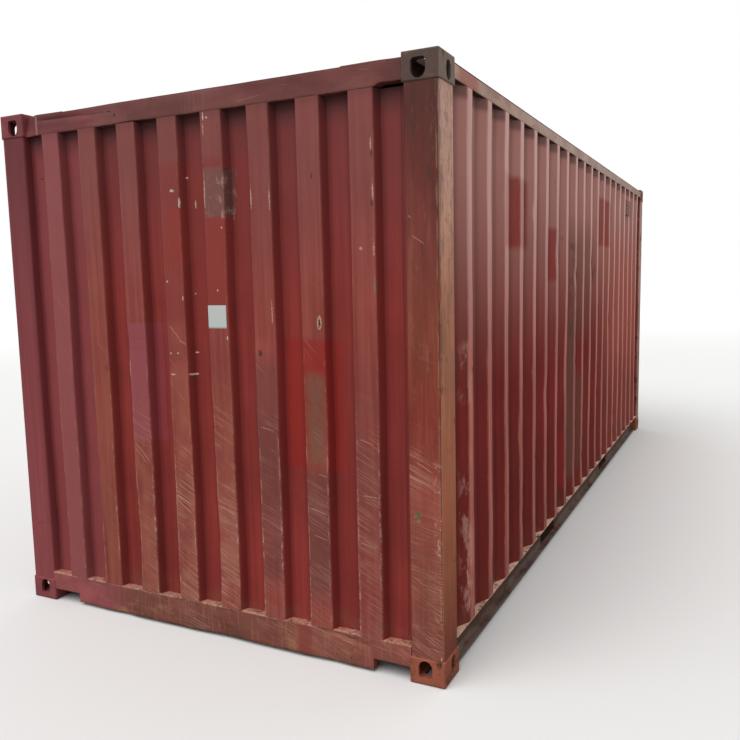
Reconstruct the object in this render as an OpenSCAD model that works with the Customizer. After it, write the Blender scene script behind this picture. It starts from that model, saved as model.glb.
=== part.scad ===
// Twenty-foot steel shipping container.
// X runs across it, Y from the blind front end (-Y) to the door end (+Y), Z up.
// The origin is the middle of the footprint, on the undersides of the bottom corner fittings.

/* [Overall size] */
// Outside length over the corner fittings
length = 6058; // [5400:1:7400]
// Outside width over the corner fittings
width = 2438; // [2300:1:2550]
// Outside height over the corner fittings
height = 2591; // [2400:1:2900]

/* [Corner fittings] */
// Size of a fitting along the container
fitting_l = 178; // [170:0.5:190]
// Size of a fitting across the container
fitting_w = 162; // [155:0.5:175]
// Height of a fitting
fitting_h = 118; // [116:0.5:130]
// Radius on the edges of the casting
fitting_edge_r = 9; // [3:0.5:14]
// Thickness of the plate that holds the twistlock slot
fitting_plate = 28.5; // [24:0.5:30]
// Thickness of the casting's outer walls
fitting_wall = 15; // [12:0.5:18]
// Thickness of the casting's inner walls and of the plate at the post
fitting_back = 10; // [7:0.5:12]
// Distance from the end of the container to the middle of a twistlock slot
slot_from_end = 102.5; // [92:0.5:105]
// Distance from the side of the container to the middle of a twistlock slot
slot_from_side = 89.5; // [80:0.5:96]
// Length of a twistlock slot
slot_l = 124.5; // [118:0.5:126]
// Width of a twistlock slot
slot_w = 63.5; // [58:0.5:66]
// Height of the holes in the end and side of a fitting
hook_h = 79.5; // [70:0.5:81]
// Width of the shield-shaped hole in the end of a fitting
end_hook_w = 63.5; // [55:0.5:66]
// Width of the oval hole in the side of a fitting
side_hook_w = 51; // [44:0.5:56]
// Radius of the small corners of the shield-shaped hole
shield_r = 15; // [8:0.5:20]

/* [Posts] */
// How far posts, walls and rails lie inside the faces of the fittings
face_set = 4; // [2:0.5:8]
// Thickness of the pressed post plate
post_t = 6; // [4:0.5:8]
// Width of a front post across the container
front_post_w = 155; // [140:1:160]
// Depth of a post along the container
post_l = 165; // [150:1:176]
// Width of a door-end post across the container
rear_post_w = 50; // [46:1:60]
// Bend radius at the middle of a pressed plate
bend_r = 8; // [6:0.5:12]

/* [Front end wall] */
// Thickness of corrugated sheet
sheet_t = 2; // [1.6:0.1:3]
// Depth of the front wall's corrugation
front_depth = 45.6; // [36:0.2:52]
// Width of an outer face of the front wall
front_outer = 110; // [90:1:120]
// Width of an inner face of the front wall
front_inner = 104; // [90:1:120]
// Width of a sloping face of the front wall
front_slope = 18; // [14:1:30]
// Bend radius at the middle of the corrugated sheet
sheet_r = 5; // [3:0.5:6]

/* [Side walls] */
// Depth of a side wall's corrugation
side_depth = 36; // [28:0.5:40]
// Width of an outer face of a side wall
side_outer = 72; // [60:1:90]
// Width of an inner face of a side wall
side_inner = 70; // [60:1:90]
// Width of a sloping face of a side wall
side_slope = 68; // [50:1:80]
// How far the ribs are shifted from the middle towards the front end
rib_shift = 25; // [0:1:40]

/* [Rails and sills] */
// Height of the gap under rails, sills and doors
ground_gap = 12.5; // [10:0.5:20]
// Height of the top of the bottom rails and front sill
base_top = 160; // [150:1:190]
// Width of the bottom rail's top flange
rail_flange = 48; // [44:1:60]
// Width of the bottom rail's bottom flange
rail_foot = 30; // [20:1:40]
// Thickness of the bottom rail
rail_t = 4.5; // [3:0.5:6]
// Size of the square top side rail
top_rail = 60; // [54:1:70]
// Wall of the top rail, front header and front sill
tube_t = 4; // [3:0.5:6]
// Drop from the top of the fittings to the top of the rails and headers
roof_drop = 23; // [20:1:26]
// Depth of the front header and front sill along the container
end_rail_l = 62; // [56:1:80]
// Width of the hooking notches beside the front bottom fittings
notch_w = 175; // [120:1:220]
// Height of the hooking notches above the sill's underside
notch_h = 50; // [30:1:70]
// Length of the crushed left end of the front header
dent_w = 84; // [40:1:120]
// Depth of the crushed left end of the front header
dent_l = 54; // [20:1:55]

/* [Roof] */
// Rise of a roof corrugation
roof_rise = 15; // [10:0.5:17]
// Distance between roof corrugations
roof_pitch = 209; // [160:1:260]
// Width of a roof corrugation at its foot
roof_rib = 118; // [90:1:140]
// Width of a roof corrugation's sloping side
roof_slope = 13.5; // [8:0.5:20]
// Flat margin along the roof's long edges
roof_margin = 95; // [70:1:160]
// Thickness of the plates beside the top fittings
corner_plate_t = 3; // [2:0.5:4]
// Length of a roof corner plate along the container
corner_plate_l = 300; // [240:1:360]
// Width of a roof corner plate across the container
corner_plate_w = 270; // [200:1:320]

/* [Floor] */
// Thickness of the plywood floor
floor_t = 28; // [21:1:30]
// Thickness of a cross member's pressed plate
cross_t = 4; // [3:0.5:5]
// Width of a cross member's flanges
cross_w = 45; // [35:1:60]
// Height of the cross members' undersides above the ground
cross_gap = 18; // [16:0.5:24]
// Wanted distance between cross members
cross_pitch = 300; // [240:1:400]
// Gap between floor boards
board_gap = 2; // [1:0.5:4]
// Distance between the middles of the fork pockets
pocket_pitch = 2050; // [1800:1:2200]
// Clear width of a fork pocket
pocket_w = 360; // [340:1:400]
// Height of the web opening of a fork pocket
pocket_h = 102; // [90:1:104]
// Thickness of the fork pocket's roof and straps
pocket_t = 3; // [2:0.5:6]
// Width of the strap under each mouth of a fork pocket
strap_w = 200; // [120:1:260]

/* [Door end] */
// How far the faces of the doors, rear header and rear sill lie inside the fittings
door_set = 41; // [40:1:48]
// Depth of the rear header and rear sill
door_rail_l = 110; // [90:1:140]
// Height of the rear header
rear_header_h = 128; // [122:1:150]
// Height of the rear sill's top
rear_sill_top = 150; // [140:1:170]
// Thickness of a door leaf's frame
door_t = 50; // [44:1:56]
// Width of a door frame's upright
stile_w = 100; // [80:1:120]
// Height of a door frame's top and bottom member
door_rail_h = 150; // [120:1:170]
// Wall of the door frame's tubes
door_wall = 3; // [2:0.5:4]
// Clearance round a door leaf, which the gasket fills
gasket_gap = 12; // [8:1:16]
// Depth of the door gasket
gasket_l = 30; // [20:1:40]
// Width of an outer face of a door panel
door_outer = 130; // [100:1:160]
// Width of a sloping face of a door panel
door_slope = 40; // [25:1:60]
// Diameter of a lock bar
bar_d = 34; // [28:0.5:36]
// Distance of a lock bar's cams from the edge of the rear header or sill
cam_inset = 45; // [30:1:60]
// Brackets that guide each lock bar
bar_guides = 4; // [3:1:5]
// Height of the handle on an inner lock bar
inner_handle_z = 1320; // [1250:1:1500]
// Height of the handle on an outer lock bar
outer_handle_z = 1160; // [900:1:1230]
// Distance from a lock bar to the end of its handle
handle_l = 380; // [345:1:410]
// Height of a lock bar's handle
handle_h = 24; // [20:1:30]
// Hinges on each door leaf
hinges = 4; // [3:1:5]
// Length of a hinge blade on the leaf
blade_l = 190; // [150:1:240]
// Thickness of a hinge blade
blade_t = 8; // [6:0.5:10]
// Height of a hinge blade
hinge_h = 110; // [80:1:150]
// Diameter of a hinge pin
hinge_pin_d = 16; // [12:0.5:20]

/* [Side ventilators] */
// Length of a ventilator cover along the container
vent_l = 320; // [300:1:340]
// Height of a ventilator cover
vent_h = 140; // [100:1:160]
// Distance from the top side rail down to a ventilator cover
vent_drop = 98; // [60:1:200]
// How far a cover is shifted from the middle of its rib towards the front end
vent_shift = 32; // [10:1:40]
// Height of a louvre slot
louvre_h = 7; // [5:0.5:9]

/* [Hidden] */
steel_red = "#7d3a36";
fitting_brown = "#4c3c38";
rail_tan = "#9a7564";
timber = "#8a6f4d";
rubber = "#222222";
zinc = "#8d8f90";
bend_steps = 3;
round_fn = 48;
bore_fn = 96;
cut = 1;
half_l = length / 2;
half_w = width / 2;
rail_top = height - roof_drop;
fitting_under = height - fitting_h;
inner_y = half_l - fitting_l;
front_face = -half_l + face_set;
rear_face = half_l - face_set;
side_face = half_w - face_set;
front_lip = half_w - front_post_w;
post_lip_y = half_l - post_l;
wall_bottom = base_top;
side_wall_top = rail_top - top_rail;
web_x = side_face - rail_flange;
floor_top = base_top - 2;
floor_bottom = floor_top - floor_t;
web_inner = web_x - rail_t;
pocket_y = pocket_pitch / 2;
door_face = half_l - door_set;
jamb_x = half_w - rear_post_w;
door_x0 = gasket_gap / 2;
door_x1 = jamb_x - gasket_gap;
door_z0 = rear_sill_top + gasket_gap;
door_z1 = rail_top - rear_header_h - gasket_gap;
door_ribs = 3;
panel_x0 = door_x0 + stile_w;
panel_pitch = (door_x1 - door_x0 - 2 * stile_w) / door_ribs;
inner_bar_x = panel_x0 + panel_pitch / 2;
outer_bar_x = inner_bar_x + (door_ribs - 1) * panel_pitch;
latch_x = (inner_bar_x + outer_bar_x) / 2;
clearance = 0.3;
weld_gap = 0.4;
bar_gap = 1;
bar_y = door_face + bar_gap + bar_d / 2;
guide_t = 4;
guide_w = 100;
guide_h = 45;
bolt_d = 14;
bolt_h = 5;
cam_w = 42;
cam_h = 32;
toe_w = 58;
toe_t = 7;
keeper_w = 88;
keeper_h = 28;
keeper_l = 22;
keeper_base_t = 4;
keeper_lug_t = 12;
keeper_tooth_w = 19;
keeper_tooth_t = 8;
cam_low_z = rear_sill_top - cam_inset;
cam_high_z = door_z1 + gasket_gap + cam_inset;
handle_t = 10;
fork_t = 6;
fork_r = 19;
fork_x = 34;
fork_pin_d = 10;
handle_set = 2;
handle_y = bar_y + handle_set;
latch_w = 40;
latch_t = 5;
latch_drop = 34;
seal_lug_w = 8;
seal_lug_h = 34;
knuckle_r = hinge_pin_d / 2 + 7;
hinge_lug_t = 12;
pin_head = 5;
blade_bolts = 3;
rib_pitch = side_outer + side_inner + 2 * side_slope;
rib_count = floor(2 * post_lip_y / rib_pitch);
right_vent_rib = 17;
left_vent_rib = 2;
vent_t = face_set - 1;
louvres = 6;
rim = 5;

// A vector's direction, its left-hand normal, and the vector turned by an angle
function unit(v) = v / norm(v);
function left_of(v) = [-v.y, v.x];
function turned(v, a) = [v.x * cos(a) - v.y * sin(a), v.x * sin(a) + v.y * cos(a)];
function backwards(list) = [for (i = [len(list) - 1:-1:0]) list[i]];

// One face of a folded plate as it goes round a corner: side is 1 for its left face, -1 for its right
function fold(before, corner, after, t, r, side) =
    let (
        way_in = unit(corner - before),
        turn = atan2(cross(way_in, unit(after - corner)), way_in * unit(after - corner)),
        hand = sign(turn),
        centre = corner + hand * r * left_of(way_in) - r * tan(abs(turn) / 2) * way_in,
        radius = r - hand * side * t / 2
    )
    [for (k = [0:bend_steps]) centre - hand * radius * turned(left_of(way_in), turn * k / bend_steps)];

// The whole outline of a plate of thickness t whose middle follows a line of corner points
function plate_face(line, t, r, side) = let (last = len(line) - 1) [
    line[0] + side * t / 2 * left_of(unit(line[1] - line[0])),
    for (i = [1:last - 1]) each fold(line[i - 1], line[i], line[i + 1], t, r, side),
    line[last] + side * t / 2 * left_of(unit(line[last] - line[last - 1]))
];
function plate(line, t, r) = concat(plate_face(line, t, r, 1), backwards(plate_face(line, t, r, -1)));

// Corner points of a corrugation: along the wall, and in from its outer face
function corrugation(from, to, count, middle, outer, slope, pitch, depth, t) = [
    [from, depth - t / 2],
    for (k = [0:count - 1], corner = [[-1, 1], [-1, 0], [1, 0], [1, 1]])
        [
            middle + (k - (count - 1) / 2) * pitch + corner[0] * (outer / 2 + corner[1] * slope),
            corner[1] == 1 ? depth - t / 2 : t / 2
        ],
    [to, depth - t / 2]
];

// A rectangle from the origin with all four corners rounded
function rounded(a, b, r) = [
    for (c = [[r, r, 180], [a - r, r, 270], [a - r, b - r, 0], [r, b - r, 90]], k = [0:bend_steps + 2])
        [c[0], c[1]] + r * [cos(c[2] + 90 * k / (bend_steps + 2)), sin(c[2] + 90 * k / (bend_steps + 2))]
];

// Extrusions whose outline is drawn as [y, z] and runs along X, or as [x, z] and runs along Y
module along_x(from, to) {
    translate([from, 0, 0]) rotate([90, 0, 90]) linear_extrude(to - from) children();
}
module along_y(from, to) {
    translate([0, to, 0]) rotate([90, 0, 0]) linear_extrude(to - from) children();
}
module up(from, to) {
    translate([0, 0, from]) linear_extrude(to - from) children();
}
module block(low, high) {
    translate(low) cube(high - low);
}
module on_left() {
    mirror([1, 0, 0]) children();
}

// Outline of the shield-shaped end hole, from its flat end at the slotted plate to its round end
function shield(w, h, r) = [
    for (k = [0:8]) [0, h - w / 2] + w / 2 * [cos(180 * k / 8), sin(180 * k / 8)],
    for (c = [[-w / 2 + r, r, 180], [w / 2 - r, r, 270]], k = [0:4])
        [c[0], c[1]] + r * [cos(c[2] + 90 * k / 4), sin(c[2] + 90 * k / 4)]
];

// A bottom fitting with its outer corner at the origin, reaching in along +X and +Y
module fitting() {
    difference() {
        intersection() {
            up(0, fitting_h) polygon(rounded(fitting_w, fitting_l, fitting_edge_r));
            along_x(0, fitting_w) polygon(rounded(fitting_l, fitting_h, fitting_edge_r));
            along_y(0, fitting_l) polygon(rounded(fitting_w, fitting_h, fitting_edge_r));
        }
        block(
            [fitting_wall, fitting_wall, fitting_plate],
            [fitting_w - fitting_back, fitting_l - fitting_back, fitting_h - fitting_back]
        );
        for (s = [-1, 1])
            translate([slot_from_side, slot_from_end + s * (slot_l - slot_w) / 2, -cut])
                cylinder(d = slot_w, h = fitting_plate + 2 * cut, $fn = bore_fn);
        block(
            [slot_from_side - slot_w / 2, slot_from_end - (slot_l - slot_w) / 2, -cut],
            [slot_from_side + slot_w / 2, slot_from_end + (slot_l - slot_w) / 2, fitting_plate + cut]
        );
        for (z = [side_hook_w / 2, hook_h - side_hook_w / 2])
            translate([-cut, slot_from_end, fitting_plate + z])
                rotate([0, 90, 0]) cylinder(d = side_hook_w, h = fitting_wall + 2 * cut, $fn = bore_fn);
        block(
            [-cut, slot_from_end - side_hook_w / 2, fitting_plate + side_hook_w / 2],
            [fitting_wall + cut, slot_from_end + side_hook_w / 2, fitting_plate + hook_h - side_hook_w / 2]
        );
        translate([slot_from_side, 0, fitting_plate])
            along_y(-cut, fitting_wall + cut) polygon(shield(end_hook_w, hook_h, shield_r));
    }
}

// A fitting put at one corner: its signs are -1 or 1 for left or right, front or rear, bottom or top
module fitting_at(x, y, z) {
    color(z > 0 ? fitting_brown : steel_red)
        translate([x * half_w, y * half_l, z > 0 ? height : 0])
            mirror([x > 0 ? 1 : 0, 0, 0])
                mirror([0, y > 0 ? 1 : 0, 0])
                    mirror([0, 0, z > 0 ? 1 : 0]) fitting();
}

// The room that the fittings take, to be cut from what runs between them
module fitting_room() {
    for (x = [-1, 1], y = [-1, 1], z = [0, 1])
        translate([
            x * (half_w - fitting_w / 2 + cut),
            y * (half_l - fitting_l / 2 + cut),
            z * height + (1 - 2 * z) * (fitting_h / 2 - cut)
        ])
            cube([fitting_w + 2 * cut, fitting_l + 2 * cut, fitting_h + 2 * cut], center = true);
}

// Right front post: one plate pressed to an angle, with a lip for each wall
module front_post() {
    middle = post_t / 2;
    color(steel_red) up(fitting_h, fitting_under) polygon(plate([
        [front_lip + middle, front_face + front_depth + middle],
        [front_lip + middle, front_face + middle],
        [side_face - middle, front_face + middle],
        [side_face - middle, -post_lip_y - middle],
        [side_face - side_depth - middle, -post_lip_y - middle]
    ], post_t, bend_r));
}

// Right door-end post: a pressed plate round the corner, closed by a thicker channel at the jamb
module rear_post() {
    jamb_t = 2 * post_t;
    color(steel_red) up(fitting_h, fitting_under) difference() {
        translate([jamb_x, post_lip_y])
            polygon(rounded(side_face - jamb_x, rear_face - post_lip_y, bend_r - 2));
        translate([jamb_x + jamb_t, post_lip_y + post_t])
            square([side_face - jamb_x - jamb_t - post_t, rear_face - post_lip_y - 2 * post_t]);
    }
}

// Front wall: one sheet pressed into vertical corrugations, between the posts, sill and header
module front_wall() {
    pitch = front_outer + front_inner + 2 * front_slope;
    line = corrugation(-front_lip, front_lip, floor(2 * front_lip / pitch), 0,
        front_outer, front_slope, pitch, front_depth, sheet_t);
    color(steel_red) up(wall_bottom, fitting_under)
        polygon([for (p = plate(line, sheet_t, sheet_r)) [p.x, front_face + p.y]]);
}

// Right side wall: sheets pressed into wider corrugations, welded end to end
function side_line() = corrugation(-post_lip_y, post_lip_y, rib_count, -rib_shift,
    side_outer, side_slope, rib_pitch, side_depth, sheet_t);
module side_wall() {
    color(steel_red) difference() {
        up(wall_bottom, side_wall_top)
            polygon([for (p = plate(side_line(), sheet_t, sheet_r)) [side_face - p.y, p.x]]);
        fitting_room();
    }
}

// Front header: a box section whose left end has been crushed back
module front_header() {
    end_x = half_w - fitting_w;
    color(steel_red) up(fitting_under, rail_top) translate([0, front_face]) difference() {
        polygon([
            [-end_x, dent_l], [-end_x + 2 * tube_t, dent_l], [-end_x + dent_w, 0],
            [end_x, 0], [end_x, end_rail_l], [-end_x, end_rail_l]
        ]);
        translate([-end_x + dent_w + tube_t, tube_t])
            square([2 * end_x - dent_w - tube_t + cut, end_rail_l - 2 * tube_t]);
    }
}

// Front sill: a box section with a notch beside each fitting, for a handling hook
module front_sill() {
    end_x = half_w - fitting_w;
    color(steel_red) difference() {
        along_x(-front_lip, front_lip) translate([front_face, ground_gap]) difference() {
            square([end_rail_l, base_top - ground_gap]);
            translate([tube_t, tube_t])
                square([end_rail_l - 2 * tube_t, base_top - ground_gap - 2 * tube_t]);
        }
        for (s = [-1, 1])
            translate([s * (end_x - notch_w / 2), front_face + end_rail_l / 2, ground_gap + notch_h / 2])
                cube([notch_w + 2 * cut, end_rail_l + 2 * cut, notch_h + 2 * cut], center = true);
        fitting_room();
    }
}

// Right top rail: a square tube between the top fittings
module top_rail() {
    color(rail_tan) along_y(-inner_y, inner_y) translate([side_face - top_rail, side_wall_top]) difference() {
        polygon(rounded(top_rail, top_rail, bend_r - 2));
        translate([tube_t, tube_t]) polygon(rounded(top_rail - 2 * tube_t, top_rail - 2 * tube_t, 2));
    }
}

// The mouths of the fork pockets in a bottom rail's web
module pocket_mouths(side = 1) {
    for (s = [-1, 1])
        translate([side * web_x, s * pocket_y, cross_gap + pocket_t + pocket_h / 2])
            cube([4 * rail_flange, pocket_w, pocket_h], center = true);
}

// Right bottom rail: a channel open to the outside, its web cut for the fork pockets
module bottom_rail() {
    half = rail_t / 2;
    color(rail_tan) difference() {
        along_y(-post_lip_y, post_lip_y) polygon(plate([
            [side_face, base_top - half], [web_x - half, base_top - half],
            [web_x - half, ground_gap + half], [web_x + rail_foot, ground_gap + half]
        ], rail_t, bend_r - 2));
        pocket_mouths();
        fitting_room();
    }
}

// Roof: a sheet between the fittings' inner ends with stamped cross corrugations that fade out
// before the long edges, and a flat plate on the header at each end
module roof_ribs(shrink) {
    run = 2 * (inner_y - end_rail_l);
    count = floor(run / roof_pitch);
    edge = side_face - roof_margin - shrink;
    lift = roof_rise - shrink;
    intersection() {
        along_x(-half_w, half_w) for (k = [0:count - 1])
            translate([(k - (count - 1) / 2) * roof_pitch, rail_top]) polygon([
                [-roof_rib / 2 + shrink, -cut], [roof_rib / 2 - shrink, -cut], [roof_rib / 2 - shrink, 0],
                [roof_rib / 2 - roof_slope - shrink, sheet_t + lift],
                [-roof_rib / 2 + roof_slope + shrink, sheet_t + lift], [-roof_rib / 2 + shrink, 0]
            ]);
        along_y(-half_l, half_l) translate([0, rail_top]) polygon([
            [-edge, -cut], [edge, -cut], [edge, 0], [edge - 3 * roof_slope, sheet_t + lift],
            [-edge + 3 * roof_slope, sheet_t + lift], [-edge, 0]
        ]);
    }
}
module roof() {
    end_x = half_w - fitting_w;
    color(steel_red) {
        difference() {
            union() {
                block([-side_face, -inner_y, rail_top], [side_face, inner_y, rail_top + sheet_t]);
                intersection() {
                    roof_ribs(0);
                    block([-half_w, -half_l, rail_top], [half_w, half_l, height]);
                }
            }
            roof_ribs(sheet_t);
        }
        block([-end_x, front_face, rail_top], [end_x, -inner_y - weld_gap, rail_top + sheet_t]);
        block([-end_x, inner_y + weld_gap, rail_top], [end_x, door_face, rail_top + sheet_t]);
    }
}

// Four plates on the roof beside the top fittings, which take the knocks of a spreader
module roof_corner_plates() {
    color(steel_red) for (x = [-1, 1], y = [-1, 1]) {
        end_y = y > 0 ? door_face : -front_face;
        translate([
            x * (half_w - fitting_w - corner_plate_w / 2),
            y * (end_y - corner_plate_l / 2),
            rail_top + sheet_t + corner_plate_t / 2
        ])
            cube([corner_plate_w, corner_plate_l, corner_plate_t], center = true);
    }
}

// One cross member: a channel that opens towards +Y, or towards -Y when flipped
module cross_member(y, flip = false) {
    half = cross_t / 2;
    translate([0, y, 0]) mirror([0, flip ? 1 : 0, 0])
        along_x(-web_inner, web_inner) polygon(plate([
            [cross_w, floor_bottom - half], [half, floor_bottom - half],
            [half, cross_gap + half], [cross_w, cross_gap + half]
        ], cross_t, bend_r - 2));
}

// Cross members in the bays between the sills and the fork pockets
module cross_members() {
    inner_end = pocket_y - pocket_w / 2 - cross_t - cross_w;
    outer_start = pocket_y + pocket_w / 2 + cross_t + cross_w;
    outer_end = half_l - fitting_l - cross_w;
    inner_count = floor(2 * inner_end / cross_pitch);
    outer_count = floor((outer_end - outer_start) / cross_pitch);
    color(steel_red) {
        for (k = [1:inner_count - 1])
            cross_member(-inner_end + 2 * inner_end * k / inner_count - cross_w / 2);
        for (k = [1:outer_count]) {
            y = outer_start + (outer_end - outer_start) * k / outer_count;
            cross_member(y - cross_w);
            cross_member(cross_w - y, true);
        }
    }
}

// Fork pocket: two channels back to back, a roof plate between them and a strap under each mouth
module fork_pocket(middle) {
    near = pocket_w / 2;
    top_z = cross_gap + pocket_t + pocket_h;
    color(steel_red) {
        translate([0, middle, 0]) {
            for (s = [-1, 1])
                mirror([0, s > 0 ? 0 : 1, 0]) cross_member(near);
            block([-web_inner, -near, top_z], [web_inner, near, top_z + pocket_t]);
            for (s = [-1, 1])
                mirror([s > 0 ? 0 : 1, 0, 0])
                    block([web_inner - strap_w, -near, cross_gap], [web_inner, near, cross_gap + pocket_t]);
        }
    }
}

// Plywood boards in two columns, lying on the cross members between the rails
module floor_boards() {
    start_y = front_face + end_rail_l + board_gap;
    end_y = half_l - door_set - door_rail_l - board_gap;
    rows = 3;
    board_l = (end_y - start_y - (rows - 1) * board_gap) / rows;
    edge = web_inner - board_gap;
    color(timber) for (s = [0, 1], r = [0:rows - 1])
        mirror([s, 0, 0]) block(
            [board_gap / 2, start_y + r * (board_l + board_gap), floor_bottom],
            [edge, start_y + r * (board_l + board_gap) + board_l, floor_top]
        );
}

// Rear header and rear sill: box sections between the posts, stepped round the fittings
module door_rail(from, to) {
    t = tube_t;
    color(steel_red) difference() {
        block([-jamb_x, door_face - door_rail_l, from], [jamb_x, door_face, to]);
        block([-jamb_x + t, door_face - door_rail_l + t, from + t], [jamb_x - t, door_face - t, to - t]);
        fitting_room();
    }
}

// Right door leaf: a frame of rectangular tubes
module door_frame() {
    t = door_wall;
    inner_x1 = door_x1 - stile_w;
    inner_z0 = door_z0 + door_rail_h;
    inner_z1 = door_z1 - door_rail_h;
    color(steel_red) translate([0, door_face - door_t, 0]) difference() {
        block([door_x0, 0, door_z0], [door_x1, door_t, door_z1]);
        block([panel_x0, -cut, inner_z0], [inner_x1, door_t + cut, inner_z1]);
        for (x = [door_x0, inner_x1])
            block([x + t, t, door_z0 + t], [x + stile_w - t, door_t - t, door_z1 - t]);
        for (z = [door_z0, inner_z1])
            block([panel_x0 + t, t, z + t], [inner_x1 - t, door_t - t, z + door_rail_h - t]);
    }
}

// Right door panel: a corrugated sheet welded into the frame
module door_panel() {
    line = corrugation(panel_x0, door_x1 - stile_w, door_ribs, latch_x,
        door_outer, door_slope, panel_pitch, side_depth, sheet_t);
    color(steel_red) up(door_z0 + door_rail_h, door_z1 - door_rail_h)
        polygon([for (p = plate(line, sheet_t, sheet_r)) [p.x, door_face - p.y]]);
}

// Right door gasket: a rubber ring between the leaf and its frame
module door_gasket() {
    from = door_face - door_t;
    color(rubber) difference() {
        block([0.5, from, rear_sill_top], [jamb_x, from + gasket_l, door_z1 + gasket_gap]);
        block([door_x0, from - cut, door_z0], [door_x1, from + gasket_l + cut, door_z1]);
    }
}

// Hinges of the right leaf: a forged blade turns on a pin that two lugs on the post hold
module door_hinges() {
    pin = [door_x1 - knuckle_r, door_face + bar_gap + knuckle_r];
    lug_z = hinge_h / 2 + bar_gap;
    color(zinc) for (k = [0:hinges - 1])
        translate([0, 0, door_z0 + (door_z1 - door_z0) * (k + 0.5) / hinges]) {
            difference() {
                union() {
                    up(-hinge_h / 2, hinge_h / 2) translate(pin) circle(knuckle_r, $fn = round_fn);
                    along_y(door_face, door_face + blade_t) polygon([
                        [pin.x, -hinge_h / 2], [pin.x, hinge_h / 2],
                        [pin.x - blade_l, hinge_h / 3], [pin.x - blade_l, -hinge_h / 3]
                    ]);
                    for (b = [1:blade_bolts], z = [-1, 1])
                        translate([pin.x - (b - 0.2) * blade_l / blade_bolts, door_face, z * hinge_h / 4])
                            rotate([-90, 0, 0]) cylinder(d = bolt_d, h = blade_t + bolt_h, $fn = round_fn);
                }
                up(-hinge_h, hinge_h) translate(pin) circle(d = hinge_pin_d + 2 * clearance, $fn = round_fn);
            }
            up(-lug_z - hinge_lug_t, lug_z + hinge_lug_t) translate(pin)
                circle(d = hinge_pin_d, $fn = round_fn);
            up(lug_z + hinge_lug_t, lug_z + hinge_lug_t + pin_head) translate(pin)
                circle(d = hinge_pin_d + pin_head, $fn = round_fn);
            for (z = [-lug_z - hinge_lug_t, lug_z])
                up(z, z + hinge_lug_t) {
                    translate(pin) circle(knuckle_r, $fn = round_fn);
                    translate([pin.x, pin.y - knuckle_r]) square([jamb_x - pin.x, 2 * knuckle_r]);
                }
        }
}

// One lock bar: a cam with two toes at each end, and a fork with the pin of its handle
module lock_bar(x, handle_z, hand) {
    toe_y = keeper_base_t + 1.5 * bar_gap;
    translate([x, 0, 0]) {
        up(cam_low_z + cam_h / 2, cam_high_z - cam_h / 2)
            translate([0, bar_y]) circle(d = bar_d, $fn = round_fn);
        for (z = [cam_low_z, cam_high_z])
            up(z - cam_h / 2, z + cam_h / 2) difference() {
                union() {
                    translate([0, bar_y]) circle(d = cam_w, $fn = round_fn);
                    translate([-toe_w / 2, door_face + toe_y]) square([toe_w, toe_t]);
                }
                translate([-cam_w, door_face - cam_w]) square([2 * cam_w, cam_w + toe_y]);
            }
        translate([0, 0, handle_z]) mirror([hand > 0 ? 0 : 1, 0, 0]) {
            for (y = [handle_y - fork_t, handle_y + handle_t])
                along_y(y, y + fork_t) {
                    translate([0, -fork_r]) square([fork_x, 2 * fork_r]);
                    translate([fork_x, 0]) circle(fork_r, $fn = round_fn);
                }
            along_y(handle_y - fork_t, handle_y + handle_t + fork_t)
                translate([fork_x, 0]) circle(d = fork_pin_d, $fn = round_fn);
        }
    }
}

// A handle: a flat bar that swings on the pin of the fork and lies in its latch
module bar_handle(x, z, hand) {
    translate([x, 0, z]) mirror([hand > 0 ? 0 : 1, 0, 0])
        along_y(handle_y + clearance, handle_y + handle_t - clearance) difference() {
            union() {
                translate([fork_x, 0]) circle(handle_h / 2 + handle_set, $fn = round_fn);
                polygon([
                    [fork_x, -handle_h / 2], [handle_l - handle_h / 4, -handle_h / 2],
                    [handle_l, -handle_h / 4], [handle_l, handle_h / 4],
                    [handle_l - handle_h / 4, handle_h / 2], [fork_x, handle_h / 2]
                ]);
            }
            translate([fork_x, 0]) circle(d = fork_pin_d + 2 * clearance, $fn = round_fn);
        }
}
module lock_bars() {
    color(zinc) for (b = [[inner_bar_x, inner_handle_z, 1], [outer_bar_x, outer_handle_z, -1]]) {
        lock_bar(b[0], b[1], b[2]);
        bar_handle(b[0], b[1], b[2]);
    }
}

// What holds the bars to the leaf: bolted straps round them, and a latch with a seal lug per handle
module bar_guide() {
    ring = bar_d / 2 + clearance;
    up(0, guide_h) difference() {
        union() {
            translate([-guide_w / 2, door_face]) square([guide_w, guide_t]);
            translate([0, bar_y]) circle(ring + guide_t, $fn = round_fn);
        }
        translate([0, bar_y]) circle(ring, $fn = round_fn);
        translate([-ring, door_face - cam_w]) square([2 * ring, cam_w + bar_y - door_face]);
    }
    for (s = [-1, 1])
        translate([s * (guide_w / 2 - bolt_d), door_face, guide_h / 2]) rotate([-90, 0, 0])
            cylinder(d = bolt_d, h = guide_t + bolt_h, $fn = 6);
}
module handle_latch() {
    back = handle_y - door_face;
    front = back + handle_t;
    along_x(-latch_w / 2, latch_w / 2) translate([door_face, 0]) polygon([
        [0, -latch_drop], [front + latch_t, -latch_drop], [front + latch_t, 0], [front, 0],
        [front, -handle_h / 2], [back, -handle_h / 2],
        [back, handle_h / 2 + latch_t], [0, handle_h / 2 + latch_t]
    ]);
    difference() {
        block(
            [-seal_lug_w / 2, door_face, handle_h / 2 + latch_t],
            [seal_lug_w / 2, door_face + back, handle_h / 2 + seal_lug_h]
        );
        translate([-seal_lug_w, door_face + back / 2, seal_lug_h])
            rotate([0, 90, 0]) cylinder(d = fork_pin_d, h = 2 * seal_lug_w, $fn = round_fn);
    }
}
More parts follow.
